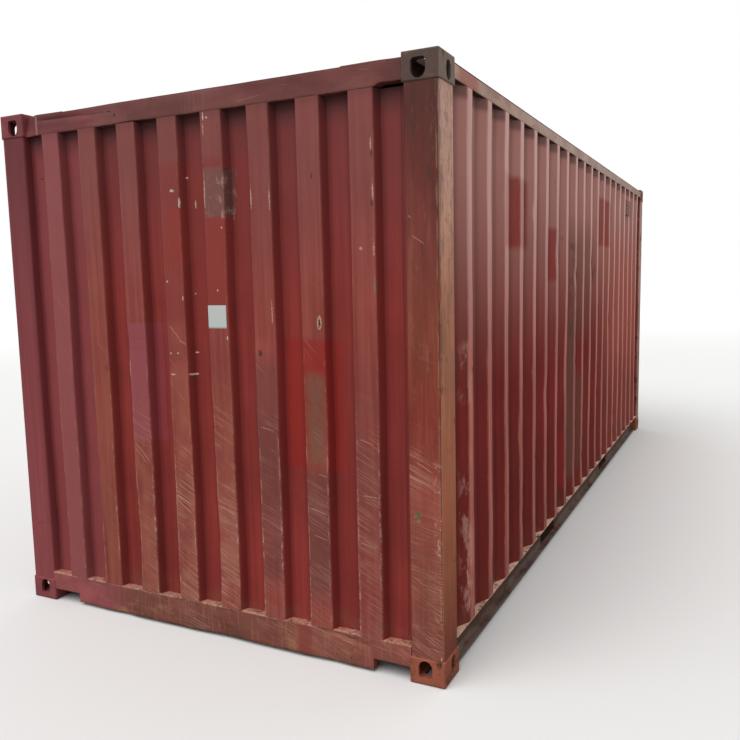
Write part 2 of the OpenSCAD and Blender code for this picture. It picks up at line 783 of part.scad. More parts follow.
module bar_brackets() {
    low = door_z0 + guide_h;
    high = door_z1 - 2 * guide_h;
    color(zinc) {
        for (x = [inner_bar_x, outer_bar_x], k = [0:bar_guides - 1])
            translate([x, 0, low + k * (high - low) / (bar_guides - 1)]) bar_guide();
        for (z = [inner_handle_z, outer_handle_z])
            translate([latch_x, 0, z]) handle_latch();
    }
}

// Keepers on the header and sill, with two teeth each that the toes of a cam lie behind
module cam_keepers() {
    w = keeper_w / 2;
    inner = w - keeper_lug_t;
    tooth = w - keeper_tooth_w;
    tooth_y = keeper_l - keeper_tooth_t;
    color(zinc) for (s = [0, 1], x = [inner_bar_x, outer_bar_x], z = [cam_low_z, cam_high_z])
        mirror([s, 0, 0]) up(z - keeper_h / 2, z + keeper_h / 2) translate([x, door_face]) polygon([
            [-w, 0], [w, 0], [w, keeper_l], [tooth, keeper_l], [tooth, tooth_y], [inner, tooth_y],
            [inner, keeper_base_t], [-inner, keeper_base_t], [-inner, tooth_y], [-tooth, tooth_y],
            [-tooth, keeper_l], [-w, keeper_l]
        ]);
}

// Ventilator: a moulded cover over one rib of the side wall, its rim reaching back to the sheet
module ventilator(rib) {
    y = (rib - (rib_count - 1) / 2) * rib_pitch - rib_shift;
    from = y - vent_shift - vent_l / 2;
    to = from + vent_l;
    high = side_wall_top - vent_drop;
    low = high - vent_h;
    back = side_face - side_depth;
    rib_side = side_outer / 2 + rim;
    gap = (vent_h - 2 * rim) / louvres;
    color(steel_red) difference() {
        block([back, from, low], [side_face + vent_t, to, high]);
        block([back - cut, from + rim, low + rim], [side_face, to - rim, high - rim]);
        up(low - cut, high + cut) polygon(concat(
            [for (p = plate_face(side_line(), sheet_t, sheet_r, -1)) [side_face - p.y, p.x]],
            [[0, post_lip_y], [0, -post_lip_y]]
        ));
        for (k = [0:louvres - 1], side = [[from + 2 * rim, y - rib_side], [y + rib_side, to - 2 * rim]])
            block(
                [side_face - cut, side[0], low + rim + (k + 0.5) * gap - louvre_h / 2],
                [side_face + vent_t + cut, side[1], low + rim + (k + 0.5) * gap + louvre_h / 2]
            );
    }
}

fitting_at(-1, -1, -1);  // front_left_bottom_fitting
fitting_at(1, -1, -1);  // front_right_bottom_fitting
fitting_at(-1, 1, -1);  // rear_left_bottom_fitting
fitting_at(1, 1, -1);  // rear_right_bottom_fitting
fitting_at(-1, -1, 1);  // front_left_top_fitting
fitting_at(1, -1, 1);  // front_right_top_fitting
fitting_at(-1, 1, 1);  // rear_left_top_fitting
fitting_at(1, 1, 1);  // rear_right_top_fitting
on_left() front_post();  // front_left_post
front_post();  // front_right_post
on_left() rear_post();  // rear_left_post
rear_post();  // rear_right_post
front_wall();
front_header();
front_sill();
on_left() side_wall();  // left_wall
side_wall();  // right_wall
on_left() top_rail();  // left_top_rail
top_rail();  // right_top_rail
on_left() bottom_rail();  // left_bottom_rail
bottom_rail();  // right_bottom_rail
roof();
roof_corner_plates();
cross_members();
floor_boards();
fork_pocket(-pocket_y);  // front_fork_pocket
fork_pocket(pocket_y);  // rear_fork_pocket
door_rail(rail_top - rear_header_h, rail_top);  // rear_header
door_rail(ground_gap, rear_sill_top);  // rear_sill
on_left() door_frame();  // left_door_frame
door_frame();  // right_door_frame
on_left() door_panel();  // left_door_panel
door_panel();  // right_door_panel
on_left() door_gasket();  // left_door_gasket
door_gasket();  // right_door_gasket
on_left() door_hinges();  // left_door_hinges
door_hinges();  // right_door_hinges
on_left() lock_bars();  // left_lock_bars
lock_bars();  // right_lock_bars
on_left() bar_brackets();  // left_bar_brackets
bar_brackets();  // right_bar_brackets
cam_keepers();
on_left() ventilator(left_vent_rib);  // left_ventilator
ventilator(right_vent_rib);  // right_ventilator
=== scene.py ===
import math
import random

import bmesh
import bpy
import numpy as np
from mathutils import Matrix, Vector


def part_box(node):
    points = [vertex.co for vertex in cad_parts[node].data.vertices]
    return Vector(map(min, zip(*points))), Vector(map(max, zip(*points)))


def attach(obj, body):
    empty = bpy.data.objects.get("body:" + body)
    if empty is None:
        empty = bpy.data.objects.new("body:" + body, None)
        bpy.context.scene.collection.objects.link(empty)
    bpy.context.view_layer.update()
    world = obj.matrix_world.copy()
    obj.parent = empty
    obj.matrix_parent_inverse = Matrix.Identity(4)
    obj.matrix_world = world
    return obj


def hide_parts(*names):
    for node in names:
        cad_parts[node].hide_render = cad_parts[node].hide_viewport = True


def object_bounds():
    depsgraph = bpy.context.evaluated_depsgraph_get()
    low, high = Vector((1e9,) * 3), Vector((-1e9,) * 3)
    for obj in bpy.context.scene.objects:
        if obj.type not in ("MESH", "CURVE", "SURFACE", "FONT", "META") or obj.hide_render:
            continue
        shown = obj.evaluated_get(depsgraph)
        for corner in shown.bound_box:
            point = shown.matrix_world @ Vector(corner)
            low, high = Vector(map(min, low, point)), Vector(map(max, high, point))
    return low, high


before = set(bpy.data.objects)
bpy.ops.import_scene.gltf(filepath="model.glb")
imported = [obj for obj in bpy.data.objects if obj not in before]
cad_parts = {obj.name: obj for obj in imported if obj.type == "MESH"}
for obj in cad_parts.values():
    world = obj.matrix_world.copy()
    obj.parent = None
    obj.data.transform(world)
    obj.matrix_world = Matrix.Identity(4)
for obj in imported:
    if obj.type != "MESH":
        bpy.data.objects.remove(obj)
cad_size = [[float(v) for v in corner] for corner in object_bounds()]

# The view: from the right front at a person's eye height, 3 metres from the nearest corner, with
# a lens as short as a phone's. The floor is plain, and the light is an even, bright overcast.
eye = Vector((2.316, -5.879, 1.717))
ahead = Vector((-0.44236, 0.88905, -0.11788))
to_right = Vector((0.8962, 0.44316, -0.02079))
lens = 37.44
sky_light = 0.62
sun_strength = 1.9
sun_spread = 55
sun_from = Vector((-0.14, -0.62, 1.0))
floor_reach = 40
fade_start = 8
fade_end = 30


def added(name, data):
    """A new object with this mesh, camera or light, put in the scene."""
    made = bpy.data.objects.new(name, data)
    bpy.context.scene.collection.objects.link(made)
    return made


camera = added("camera", bpy.data.cameras.new("camera"))
back = -ahead.normalized()
up = back.cross(to_right).normalized()
side = up.cross(back)
camera.matrix_world = Matrix.Translation(eye) @ Matrix((side, up, back)).transposed().to_4x4()
camera.data.sensor_width = 36
camera.data.lens = lens
camera.data.clip_end = 200
bpy.context.scene.camera = camera
bpy.context.scene.view_settings.view_transform = "Standard"


class Signal:
    """A socket in a material. Sums on it add Math nodes, and node() adds any other node."""

    def __init__(self, tree, socket=None):
        self.tree = tree
        self.socket = socket

    def node(self, kind, out=0, stops=None, ins=None, **settings):
        made = self.tree.nodes.new("ShaderNode" + kind)
        for key, value in settings.items():
            setattr(made, key, value)
        if stops:
            points = made.color_ramp.elements
            while len(points) < len(stops):
                points.new(0.5)
            for point, (spot, colour) in zip(points, stops):
                point.position = spot
                point.color = (*colour, 1)[:4]
        for key, value in (ins or {}).items():
            self.feed(made, key, value)
        return Signal(self.tree, made.outputs[out])

    def feed(self, made, key, value):
        """Gives an input a signal, or one value all over: a colour as its red, green and blue."""
        if isinstance(value, Signal):
            self.tree.links.new(value.socket, made.inputs[key])
        elif made.inputs[key].type == "RGBA":
            made.inputs[key].default_value = (*value, 1)
        else:
            made.inputs[key].default_value = value

    def math(self, operation, *values):
        return self.node("Math", operation=operation, ins=dict(enumerate(values)))

    def __add__(self, other):
        return self.math("ADD", self, other)

    def __radd__(self, other):
        return self.math("ADD", other, self)

    def __sub__(self, other):
        return self.math("SUBTRACT", self, other)

    def __rsub__(self, other):
        return self.math("SUBTRACT", other, self)

    def __mul__(self, other):
        return self.math("MULTIPLY", self, other)

    def __rmul__(self, other):
        return self.math("MULTIPLY", other, self)

    def __abs__(self):
        return self.math("ABSOLUTE", self)

    def high(self, other):
        return self.math("MAXIMUM", self, other)

    def low(self, other):
        return self.math("MINIMUM", self, other)

    def step(self, start, end):
        """0 at start and 1 at end, smooth between them; start may be above end."""
        return self.node("MapRange", interpolation_type="SMOOTHSTEP", ins={0: self, 1: start, 2: end})

    def mix(self, first, second):
        """The colour first where this signal is 0, and second where it is 1."""
        return self.node("Mix", out=2, data_type="RGBA", ins={0: self, 6: first, 7: second})


world = bpy.data.worlds.new("overcast")
bpy.context.scene.world = world
world.use_nodes = True
air = Signal(world.node_tree)
ray = [air.node("LightPath", out=o) for o in ("Is Camera Ray", "Is Glossy Ray", "Is Transmission Ray")]
seen = ray[0].high(ray[1]).high(ray[2])
glow = world.node_tree.nodes["Background"]
air.feed(glow, "Color", (1, 1, 1))
air.feed(glow, "Strength", seen * (1 - sky_light) + sky_light)

sun = added("overcast_sun", bpy.data.lights.new("overcast_sun", "SUN"))
sun.data.energy = sun_strength
sun.data.angle = math.radians(sun_spread)
sun.rotation_euler = sun_from.to_track_quat("Z", "Y").to_euler()

floor_mesh = bpy.data.meshes.new("floor")
floor_corners = [(floor_reach * x, floor_reach * y, 0) for x, y in ((-1, -1), (1, -1), (1, 1), (-1, 1))]
floor_mesh.from_pydata(floor_corners, [], [(0, 1, 2, 3)])
floor = added("floor", floor_mesh)
floor.location.z = cad_size[0][2] - 0.001
pale = bpy.data.materials.new("pale_floor")
pale.use_nodes = True
ground = Signal(pale.node_tree)
seen = ground.node("LightPath", out="Is Camera Ray")
spot = ground.node("TexCoord", out="Object")
spread = ground.node("VectorMath", out="Value", operation="LENGTH", ins={0: spot})
far = spread.step(fade_start, fade_end)
floor_colour = seen.mix((0.26, 0.25, 0.24), far.mix((0.8, 0.8, 0.79), (0, 0, 0)))
pale_shader = pale.node_tree.nodes["Principled BSDF"]
for socket, value in (
    ("Base Color", floor_colour), ("Emission Color", (seen * far).mix((0, 0, 0), (1, 1, 1))),
    ("Emission Strength", 1.0), ("Roughness", 0.9),
):
    ground.feed(pale_shader, socket, value)
floor.data.materials.append(pale)

# Corner fittings: eight hollow steel castings, welded to the ends of the posts. They take all the
# knocks, so the top right one at the front has lost its paint, and the rest are chipped and rusty.
rust_brown = (0.085, 0.03, 0.016)
rust_orange = (0.26, 0.095, 0.042)
old_rust = (0.045, 0.024, 0.017)
pale_scratch = (0.5, 0.26, 0.19)


def seen_as(red, green, blue):
    """The linear colour of a tone named in a screen's 0 to 255."""
    return tuple((max(v, 11) / 255 * 0.948 + 0.052) ** 2.4 for v in (red, green, blue))


class Finish:
    """A material under way: where a point lies, its noises, and its colour, roughness and relief so far."""

    def __init__(self, name, colour, roughness=0.6):
        self.material = bpy.data.materials.new(name)
        self.material.use_nodes = True
        self.tree = self.material.node_tree
        self.s = Signal(self.tree)
        self.place = self.s.node("TexCoord", out="Object")
        self.x, self.y, self.z = (self.s.node("SeparateXYZ", out=k, ins={0: self.place}) for k in range(3))
        self.u = self.x
        self.colour = colour
        self.rough = roughness
        self.relief = []

    def noise(self, scale, stretch=(1, 1, 1), detail=4.0, roughness=0.55, shift=0.0):
        spread = self.s.node("VectorMath", operation="MULTIPLY", ins={0: self.place, 1: stretch})
        moved = self.s.node("VectorMath", operation="ADD", ins={0: spread, 1: (shift, shift * 0.7, -shift)})
        ins = {"Vector": moved, "Scale": scale, "Detail": detail, "Roughness": roughness}
        return self.s.node("TexNoise", ins=ins)

    def rectangle(self, u0, u1, z0, z1, soft, wobble=None):
        """1 inside the rectangle in u and z, 0 outside, with a soft edge that may wobble."""
        a = self.u + wobble if wobble else self.u
        b = self.z + wobble if wobble else self.z
        across = a.step(u0 - soft, u0 + soft) * a.step(u1 + soft, u1 - soft)
        return across * b.step(z0 - soft, z0 + soft) * b.step(z1 + soft, z1 - soft)

    def cover(self, mask, colour, roughness=None):
        self.colour = mask.mix(self.colour, colour)
        if roughness is not None:
            keep = self.rough if isinstance(self.rough, Signal) else self.s.math("ADD", self.rough, 0.0)
            self.rough = keep + mask * (roughness - keep)

    def tint(self, signal, low, high):
        """Multiplies the colour: by low where the signal is 0, and by high where it is 1."""
        grey = signal.mix((low, low, low), (high, high, high))
        ins = {0: 1.0, 6: self.colour, 7: grey}
        self.colour = self.s.node("Mix", out=2, data_type="RGBA", blend_type="MULTIPLY", ins=ins)

    def clouded(self, low, high, *noise, spread=0.2, **more):
        """Clouds or streaks in the colour, between low and high times as bright."""
        self.tint(self.noise(*noise, **more).step(0.5 - spread, 0.5 + spread), low, high)

    def rust(self, level, seed, scale=9.0):
        """Rust in spots where level is near 0, and all over where it is 1; brown, with orange rims."""
        grain = self.noise(scale, detail=9, roughness=0.68, shift=seed)
        fine = self.noise(scale * 9, detail=4, roughness=0.7, shift=seed + 3)
        amount = grain + fine * 0.16 + level * 0.42
        halo = amount.step(0.74, 0.84)
        heart = amount.step(0.8, 0.9)
        mottle = self.noise(scale * 4, detail=5, shift=seed + 7).step(0.35, 0.65)
        self.cover(halo * 0.75, mottle.mix(rust_orange, rust_brown), 0.8)
        self.cover(heart, mottle.mix(rust_brown, old_rust), 0.88)
        self.relief.append((heart * (fine - 0.5), 0.0012))
        return heart

    def ramp(self, signal, *stops):
        """A colour that changes with a signal between 0 and 1."""
        return self.s.node("ValToRGB", ins={0: signal}, stops=stops)

    def scratches(self, zone, seed, lean, fine, least, strength, length=2.6, bow=0.14):
        """Pale scrapes that lean down to the right, where the zone is 1."""
        s = self.u * math.cos(lean) - self.z * math.sin(lean)
        t = self.u * math.sin(lean) + self.z * math.cos(lean)
        bowed = t + self.noise(1.6, detail=1, shift=seed) * bow
        lie = self.s.node("CombineXYZ", ins={0: s * length, 1: bowed * fine, 2: seed})
        lines = self.s.node("TexNoise", ins={"Vector": lie, "Scale": 1.0, "Detail": 2.0, "Roughness": 0.6})
        bunch = self.noise(5.5, detail=3, shift=seed).step(0.4, 0.58)
        mask = lines.step(least, least + 0.07) * bunch * zone
        self.cover(mask * strength, pale_scratch, 0.5)
        self.relief.append((mask * -1.0, 0.0004))

    def spots(self, places, colour, ragged=1.0):
        """Chips or stains with ragged edges, each given as (u, z, width, height)."""
        nearest = None
        for u, z, width, height in places:
            across = (self.u - u) * (2 / width)
            tall = (self.z - z) * (2 / height)
            away = across * across + tall * tall
            nearest = nearest.low(away) if nearest else away
        edge = (self.noise(150, detail=5, roughness=0.75, shift=6) - 0.5) * (6.0 * ragged)
        self.cover((nearest + edge).step(1.15, 0.85), colour)

    def strokes(self, lines, colour, strength):
        """Single scratches, thinner at their ends, each given as (u0, z0, u1, z1, width)."""
        marks = None
        for u0, z0, u1, z1, width in lines:
            length = math.hypot(u1 - u0, z1 - z0)
            cos, sin = (u1 - u0) / length, (z1 - z0) / length
            along = (self.u - u0) * cos + (self.z - z0) * sin
            aside = (self.z - z0) * cos - (self.u - u0) * sin
            bowed = aside + along * (along - length) * 0.8
            mark = abs(bowed).step(width, width * 0.3)
            mark = mark * along.step(0, length * 0.2) * along.step(length, length * 0.8)
            marks = marks.high(mark) if marks else mark
        self.cover(marks * strength, colour, 0.5)

    def finish(self, metallic=0.0, specular=0.2):
        shader = self.tree.nodes["Principled BSDF"]
        for name, value in (
            ("Base Color", self.colour), ("Roughness", self.rough), ("Metallic", metallic),
            ("Specular IOR Level", specular),
        ):
            self.s.feed(shader, name, value)
        height = None
        for signal, depth in self.relief:
            height = signal * (depth * 1000) if height is None else height + signal * (depth * 1000)
        if height is not None:
            bump = self.s.node("Bump", ins={"Height": height, "Distance": 0.001, "Strength": 1.0})
            self.s.feed(shader, "Normal", bump)
        return self.material


def casting(name, paint_colour, level, bare=0.0):
    """A fitting's finish: sand-cast steel under old paint, with more rust as level nears 1."""
    cast = Finish(name, paint_colour, 0.62)
    lumps = cast.noise(60, detail=5)
    cast.clouded(0.72, 1.18, 6, detail=6)
    if bare:
        ground = cast.noise(14, detail=7, shift=5).step(0.62 - bare, 0.72 - bare)
        cast.cover(ground, (0.105, 0.066, 0.055), 0.7)
        cast.cover(cast.x.step(1.213, 1.218) * (0.35 + 0.5 * lumps), (0.33, 0.25, 0.205), 0.7)
    cast.cover(cast.noise(22, detail=8, shift=2).step(0.66, 0.7) * 0.6, pale_scratch)
    cast.rust(cast.noise(5, detail=3, shift=9) * 0.5 + level, seed=11)
    cast.relief.append((lumps, 0.0012))
    return cast.finish()


worn_casting = casting("worn_casting", seen_as(150, 84, 64), 0.12)
plum_casting = casting("plum_casting", seen_as(136, 68, 72), -0.1)
bare_casting = casting("bare_casting", seen_as(104, 80, 70), 0.02, bare=0.2)


def dress(look, *names, slot="red_paint"):
    for name in names:
        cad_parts[name].data.materials.clear()
        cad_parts[name].data.materials.append(look)


dress(worn_casting, *[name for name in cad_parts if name.endswith("_fitting")], slot="casting")
dress(plum_casting, "front_left_top_fitting", "front_left_bottom_fitting", slot="casting")
dress(bare_casting, "front_right_top_fitting", slot="casting")

# Corner posts: thick plate pressed to an angle at the front and boxed in at the doors, welded to the
# fittings. The right front post has lost the most paint, and its side has turned to tan rust, painted
# paler towards the top as painted sky light.


def steel(name, colour, level, seed, plan, specular=0.2, scale=8):
    """Painted or bare rolled steel, clouded, streaked downwards, and rusty by its level."""
    look = Finish(name, colour, 0.6)
    cloud = look.noise(1.8, detail=5, shift=seed).step(0.3, 0.7)
    look.tint(cloud, 0.84, 1.12)
    look.clouded(0.86, 1.12, 1, (32, 32, 1.2), detail=5, shift=seed + 2, spread=0.25)
    look.tint(look.noise(110, detail=3, roughness=0.7), 0.9, 1.1)
    plan(look)
    look.rust(cloud * 0.12 + level, seed=seed + 20, scale=scale)
    look.relief.append((look.noise(45, detail=2, shift=seed), 0.0003))
    return look.finish(specular=specular)


full_height = 2.6


def post_colours(look):
    """Red on the front face and tan rust on the side, each changing with the height; the side's tan grows
    paler towards the top as painted sky light.
    """
    high = look.z * (1 / full_height)
    front = look.ramp(
        high,
        (0.06, (0.25, 0.066, 0.048)), (0.18, (0.285, 0.078, 0.052)), (0.31, (0.285, 0.064, 0.046)),
        (0.44, (0.21, 0.034, 0.023)), (0.58, (0.245, 0.055, 0.033)), (0.69, (0.195, 0.046, 0.033)),
        (0.82, (0.148, 0.031, 0.024)), (0.93, (0.108, 0.029, 0.024)),
    )
    # The side's upper tones are paler than its rust alone: painted sky light on that face.
    flank = look.ramp(
        high,
        (0.06, (0.26, 0.06, 0.034)), (0.17, (0.4, 0.12, 0.055)), (0.4, (0.44, 0.145, 0.068)),
        (0.62, (0.56, 0.22, 0.12)), (0.75, (0.68, 0.345, 0.235)), (0.92, (0.76, 0.45, 0.35)),
    )
    beside = look.x.step(1.207, 1.212)
    face = 1 - beside
    look.colour = beside.mix(front, flank)
    look.clouded(0.8, 1.14, 3, (1, 1, 0.7), detail=6, shift=3)
    runs = look.noise(1, (42, 42, 2.2), detail=7, roughness=0.65, shift=5)
    look.tint(runs.step(0.25, 0.75), 0.84, 1.14)
    pale_runs = runs.step(0.5, 0.66) * look.rectangle(1.09, 1.205, 0.95, 1.9, 0.14)
    look.cover(pale_runs * 0.25, (0.4, 0.165, 0.095))
    return beside, face


def post_rust(look, beside, face):
    """Dark flakes and pale specks on the front face, and a streaked grain down the side."""
    flakes = look.noise(15, (1, 1, 0.35), detail=9, roughness=0.74, shift=7)
    where = look.z.step(1.75, 2.35) * 0.1 + look.x.step(1.15, 1.2) * look.z.step(1.35, 1.9) * 0.11
    look.cover((flakes + where).step(0.6, 0.72) * face * 0.6, (0.08, 0.033, 0.025), 0.75)
    specks = look.noise(30, (1, 1, 0.22), detail=9, roughness=0.78, shift=17)
    look.cover(specks.step(0.55, 0.7) * face * 0.5, (0.37, 0.14, 0.088))
    look.cover(specks.step(0.46, 0.38) * face * look.z.step(1.1, 1.8) * 0.45, (0.085, 0.032, 0.025))
    grain = look.noise(22, (1, 1, 0.5), detail=9, roughness=0.76, shift=9)
    look.cover((grain + look.z.step(1.7, 2.4) * 0.05).step(0.54, 0.66) * beside * 0.45, (0.36, 0.16, 0.095))
    look.cover(grain.step(0.46, 0.38) * beside * look.z.step(0.8, 1.8) * 0.45, (0.86, 0.61, 0.5))
    ragged = (look.x + grain * 0.016).step(1.2235, 1.2205) * beside
    look.cover(ragged * look.z.step(0.9, 1.6) * 0.65, (0.07, 0.034, 0.026))


def post_fold(look):
    """The fold between the face and the side: rubbed pale, with a dark line beside it."""
    broken = look.noise(1, (30, 30, 7), detail=7, roughness=0.65, shift=11)
    rim = look.x.step(1.196, 1.203) * (1 - look.x.step(1.2115, 1.2145))
    look.cover(rim * broken.step(0.44, 0.58) * 0.55, (0.43, 0.19, 0.12))
    groove = look.x.step(1.2035, 1.206) * (1 - look.x.step(1.2085, 1.211))
    look.cover(groove * (broken + look.z.step(0.2, 1.5) * 0.1).step(0.46, 0.56) * 0.75, (0.062, 0.028, 0.021))


def post_scrapes(look, face):
    """Bands of scrapes down the front face, with single scratches, chips and green spots."""
    scrape = face * (0.55 + 0.45 * look.noise(4, detail=4, shift=19).step(0.35, 0.6))
    for ends, seed, lean, length, fine, least, strength, bow in (
        (((1.06, 0.98), (0.76, 0.86)), 4.0, 0.38, 3.5, 150, 0.52, 0.7, 0.04),
        (((0.95, 0.55),), 6.0, 0.16, 4.5, 220, 0.52, 0.5, 0.05),
        (((0.7, 0.4),), 8.0, 0.5, 5.0, 170, 0.55, 0.45, 0.08),
        (((1.9, 1.2),), 12.0, 0.3, 5.0, 170, 0.62, 0.35, 0.05),
    ):
        zone = scrape
        for none, full in ends:
            zone = zone * look.z.step(none, full)
        look.scratches(zone, seed, lean, fine, least, strength, length, bow)
    chips = look.noise(1, (60, 60, 30), detail=6, roughness=0.7, shift=27).step(0.58, 0.64)
    look.cover(chips * look.x.step(1.165, 1.195) * face * look.z.step(1.25, 0.85) * 0.6, (0.6, 0.4, 0.31))
    look.strokes((
        (1.092, 1.885, 1.15, 1.845, 0.0022), (1.078, 1.965, 1.09, 1.952, 0.003),
        (1.095, 0.965, 1.175, 0.92, 0.003),
    ), (0.52, 0.3, 0.23), 0.6)
    look.spots(((1.104, 0.742, 0.02, 0.022), (1.098, 0.718, 0.012, 0.012)), (0.11, 0.128, 0.066), 0.8)
    look.spots(((1.107, 0.714, 0.02, 0.014), (1.092, 0.732, 0.012, 0.012)), (0.19, 0.19, 0.1), 0.9)


def right_post_plan(look):
    beside, face = post_colours(look)
    post_rust(look, beside, face)
    post_fold(look)
    post_scrapes(look, face)


def left_post_plan(look):
    look.colour = look.ramp(
        look.z * (1 / full_height),
        (0.05, (0.28, 0.064, 0.07)), (0.5, (0.24, 0.05, 0.055)), (0.92, (0.18, 0.04, 0.046)),
    )
    look.clouded(0.84, 1.14, 1, (36, 36, 1.4), detail=6, shift=5, spread=0.25)
    look.cover(look.noise(30, detail=7, shift=31).step(0.7, 0.74) * 0.4, (0.07, 0.03, 0.026))


def old_paint(look):
    look.cover(look.noise(14, detail=8, shift=33).step(0.63, 0.69) * 0.5, pale_scratch)
    look.cover(
        look.z.step(0.5, 0.12) * look.noise(5, detail=6, shift=7).step(0.35, 0.65) * 0.5, (0.19, 0.08, 0.05),
    )


def worn_flank(look):
    old_paint(look)
    bare = look.x.step(1.2, 1.212) * (0.4 + 0.45 * look.z.step(0.2, 1.6))
    look.cover(bare * look.noise(7, (1, 1, 0.4), detail=7, shift=35).step(0.2, 0.55), (0.56, 0.33, 0.26))


rear_red = (0.235, 0.06, 0.048)
dress(steel("right_post_steel", rust_brown, 0.05, 2.0, right_post_plan), "front_right_post")
dress(steel("left_post_paint", seen_as(120, 60, 64), 0.04, 5.0, left_post_plan), "front_left_post")
dress(steel("rear_post_paint", rear_red, 0.22, 8.0, old_paint), "rear_left_post")
dress(steel("rear_right_post_paint", rear_red, 0.22, 8.0, worn_flank), "rear_right_post")

# Front wall: one sheet of 2 mm weathering steel, pressed into eight vertical ribs and welded to the
# posts, sill and header. Forks and ropes have bent its ribs and scraped their lower halves.
front_ribs = 8
front_rows = 94
front_knock_count = 46
rib_pitch = 0.25
rib_face = 0.11
rib_slope = 0.018
sheet = 0.002
bend = 0.006
sharp_angle = math.radians(32)


def bent(corners, thickness, radius, steps=4, reach=0.012, spacing=0.03):
    """The closed outline of a bent plate of this thickness whose middle follows the corners."""
    corners = np.array(corners, float)
    middle, normal = [], []
    last = len(corners) - 1

    def straight(a, b, n):
        length = np.linalg.norm(b - a)
        if length < 2.2 * reach:
            inner = [0.5]
        else:
            count = max(1, round((length - 2 * reach) / spacing))
            inner = [reach / length + k / count * (1 - 2 * reach / length) for k in range(count + 1)]
        for t in inner:
            middle.append(a + (b - a) * t)
            normal.append(n)

    start = corners[0]
    way = (corners[1] - corners[0]) / np.linalg.norm(corners[1] - corners[0])
    middle.append(start)
    normal.append(np.array([-way[1], way[0]]))
    for i in range(1, last):
        out = (corners[i + 1] - corners[i]) / np.linalg.norm(corners[i + 1] - corners[i])
        turn = math.atan2(way[0] * out[1] - way[1] * out[0], way @ out)
        hand = math.copysign(1.0, turn)
        left = np.array([-way[1], way[0]])
        set_back = radius * math.tan(abs(turn) / 2)
        centre = corners[i] + hand * radius * left - set_back * way
        straight(start, corners[i] - set_back * way, left)
        for k in range(steps + 1):
            a = turn * k / steps
            cos, sin = math.cos(a), math.sin(a)
            n = np.array([left[0] * cos - left[1] * sin, left[0] * sin + left[1] * cos])
            middle.append(centre - hand * radius * n)
            normal.append(n)
        start = corners[i] + set_back * out
        way = out
    left = np.array([-way[1], way[0]])
    straight(start, corners[last], left)
    middle.append(corners[last])
    normal.append(left)
    middle, normal = np.array(middle), np.array(normal)
    return np.concatenate([middle + normal * thickness / 2, (middle - normal * thickness / 2)[::-1]])


def smoothed(name, mesh):
    """An object whose mesh is shaded smooth, but for its sharp edges."""
    mesh.shade_smooth()
    mesh.set_sharp_from_angle(angle=sharp_angle)
    return added(name, mesh)


def swept(name, outline, axis, stations, shape, paired=True):
    """A piece with one closed outline at each station along an axis, closed ends, and a bent shape."""
    outline = np.array(outline, float)
    stations = np.array(stations, float)
    n, m = len(outline), len(stations)
    points = np.zeros((m, n, 3))
    others = [k for k in range(3) if k != axis]
    points[:, :, others[0]] = outline[:, 0]
    points[:, :, others[1]] = outline[:, 1]
    points[:, :, axis] = stations[:, None]
    points = shape(points.reshape(-1, 3))
    faces = []
    for j in range(m - 1):
        for i in range(n):
            k = (i + 1) % n
            faces.append((j * n + i, j * n + k, (j + 1) * n + k, (j + 1) * n + i))
    for row in (0, (m - 1) * n):
        if paired:
            faces += [(row + i, row + n - 1 - i, row + n - 2 - i, row + i + 1) for i in range(n // 2 - 1)]
        else:
            faces.append(tuple(row + i for i in range(n)))
    mesh = bpy.data.meshes.new(name)
    mesh.from_pydata([tuple(p) for p in points], [], faces)
    work = bmesh.new()
    work.from_mesh(mesh)
    bmesh.ops.recalc_face_normals(work, faces=work.faces)
    work.to_mesh(mesh)
    work.free()
    return smoothed(name, mesh)


def place(made, look, *nodes, slot="red_paint"):
    made.data.materials.clear()
    made.data.materials.append(look)
    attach(made, "root")
    if nodes:
        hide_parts(*nodes)


def ribbed(start, end, count, middle, face, slope, pitch, depth):
    """Corners of a corrugation: along the wall, and in from its outer face."""
    corners = [(start, depth - sheet / 2)]
    for k in range(count):
        c = middle + (k - (count - 1) / 2) * pitch
        corners += [
            (c - face / 2 - slope, depth - sheet / 2), (c - face / 2, sheet / 2),
            (c + face / 2, sheet / 2), (c + face / 2 + slope, depth - sheet / 2),
        ]
    return corners + [(end, depth - sheet / 2)]


def hollows(u, z, dents):
    """How deep each point is pushed in by dents given as (u, z, half width, half height, depth)."""
    deep = np.zeros(len(u))
    for du, dz, half_u, half_z, depth in dents:
        deep += depth * np.exp(-(((u - du) / half_u) ** 2 + ((z - dz) / half_z) ** 2))
    return deep


def knock(*ranges):
    """One number from each range, by luck."""
    return tuple(luck.uniform(*ends) for ends in ranges)


low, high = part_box("front_wall")
luck = random.Random(31)
front_dents = [
    (-0.115, 1.34, 0.05, 0.055, 0.01), (-0.43, 0.42, 0.035, 0.16, 0.006), (0.64, 1.1, 0.06, 0.13, 0.007),
    (-0.67, 0.62, 0.03, 0.2, 0.005), (0.1, 0.55, 0.07, 0.2, 0.006), (0.36, 0.8, 0.07, 0.22, 0.007),
    (0.34, 1.46, 0.03, 0.03, 0.006), (-0.4, 1.85, 0.05, 0.15, 0.004), (0.9, 0.58, 0.04, 0.06, 0.005),
]
for _ in range(front_knock_count):
    rib = (luck.randrange(1, front_ribs) - (front_ribs - 1) / 2) * rib_pitch
    edge = rib + luck.choice((-0.052, -0.05, 0.05))
    front_dents.append((edge,) + knock((0.2, 1.45), (0.008, 0.016), (0.012, 0.05), (0.001, 0.0035)))


def front_shape(p):
    x, z = p[:, 0], p[:, 2]
    deep = hollows(x, z, front_dents)
    wave = 0.0016 * np.sin(3.1 * z + 5 * x) + 0.0012 * np.sin(7.3 * z - 9 * x + 1)
    wave += 0.0007 * np.sin(23 * z + 14 * x)
    held = np.clip((z - low.z) / 0.15, 0, 1) * np.clip((high.z - z) / 0.15, 0, 1)
    p[:, 1] += np.maximum(0, deep + (wave + 0.0022) * held)
    p[:, 0] += 0.0018 * np.sin(2.3 * z + 11 * x) * held
    return p


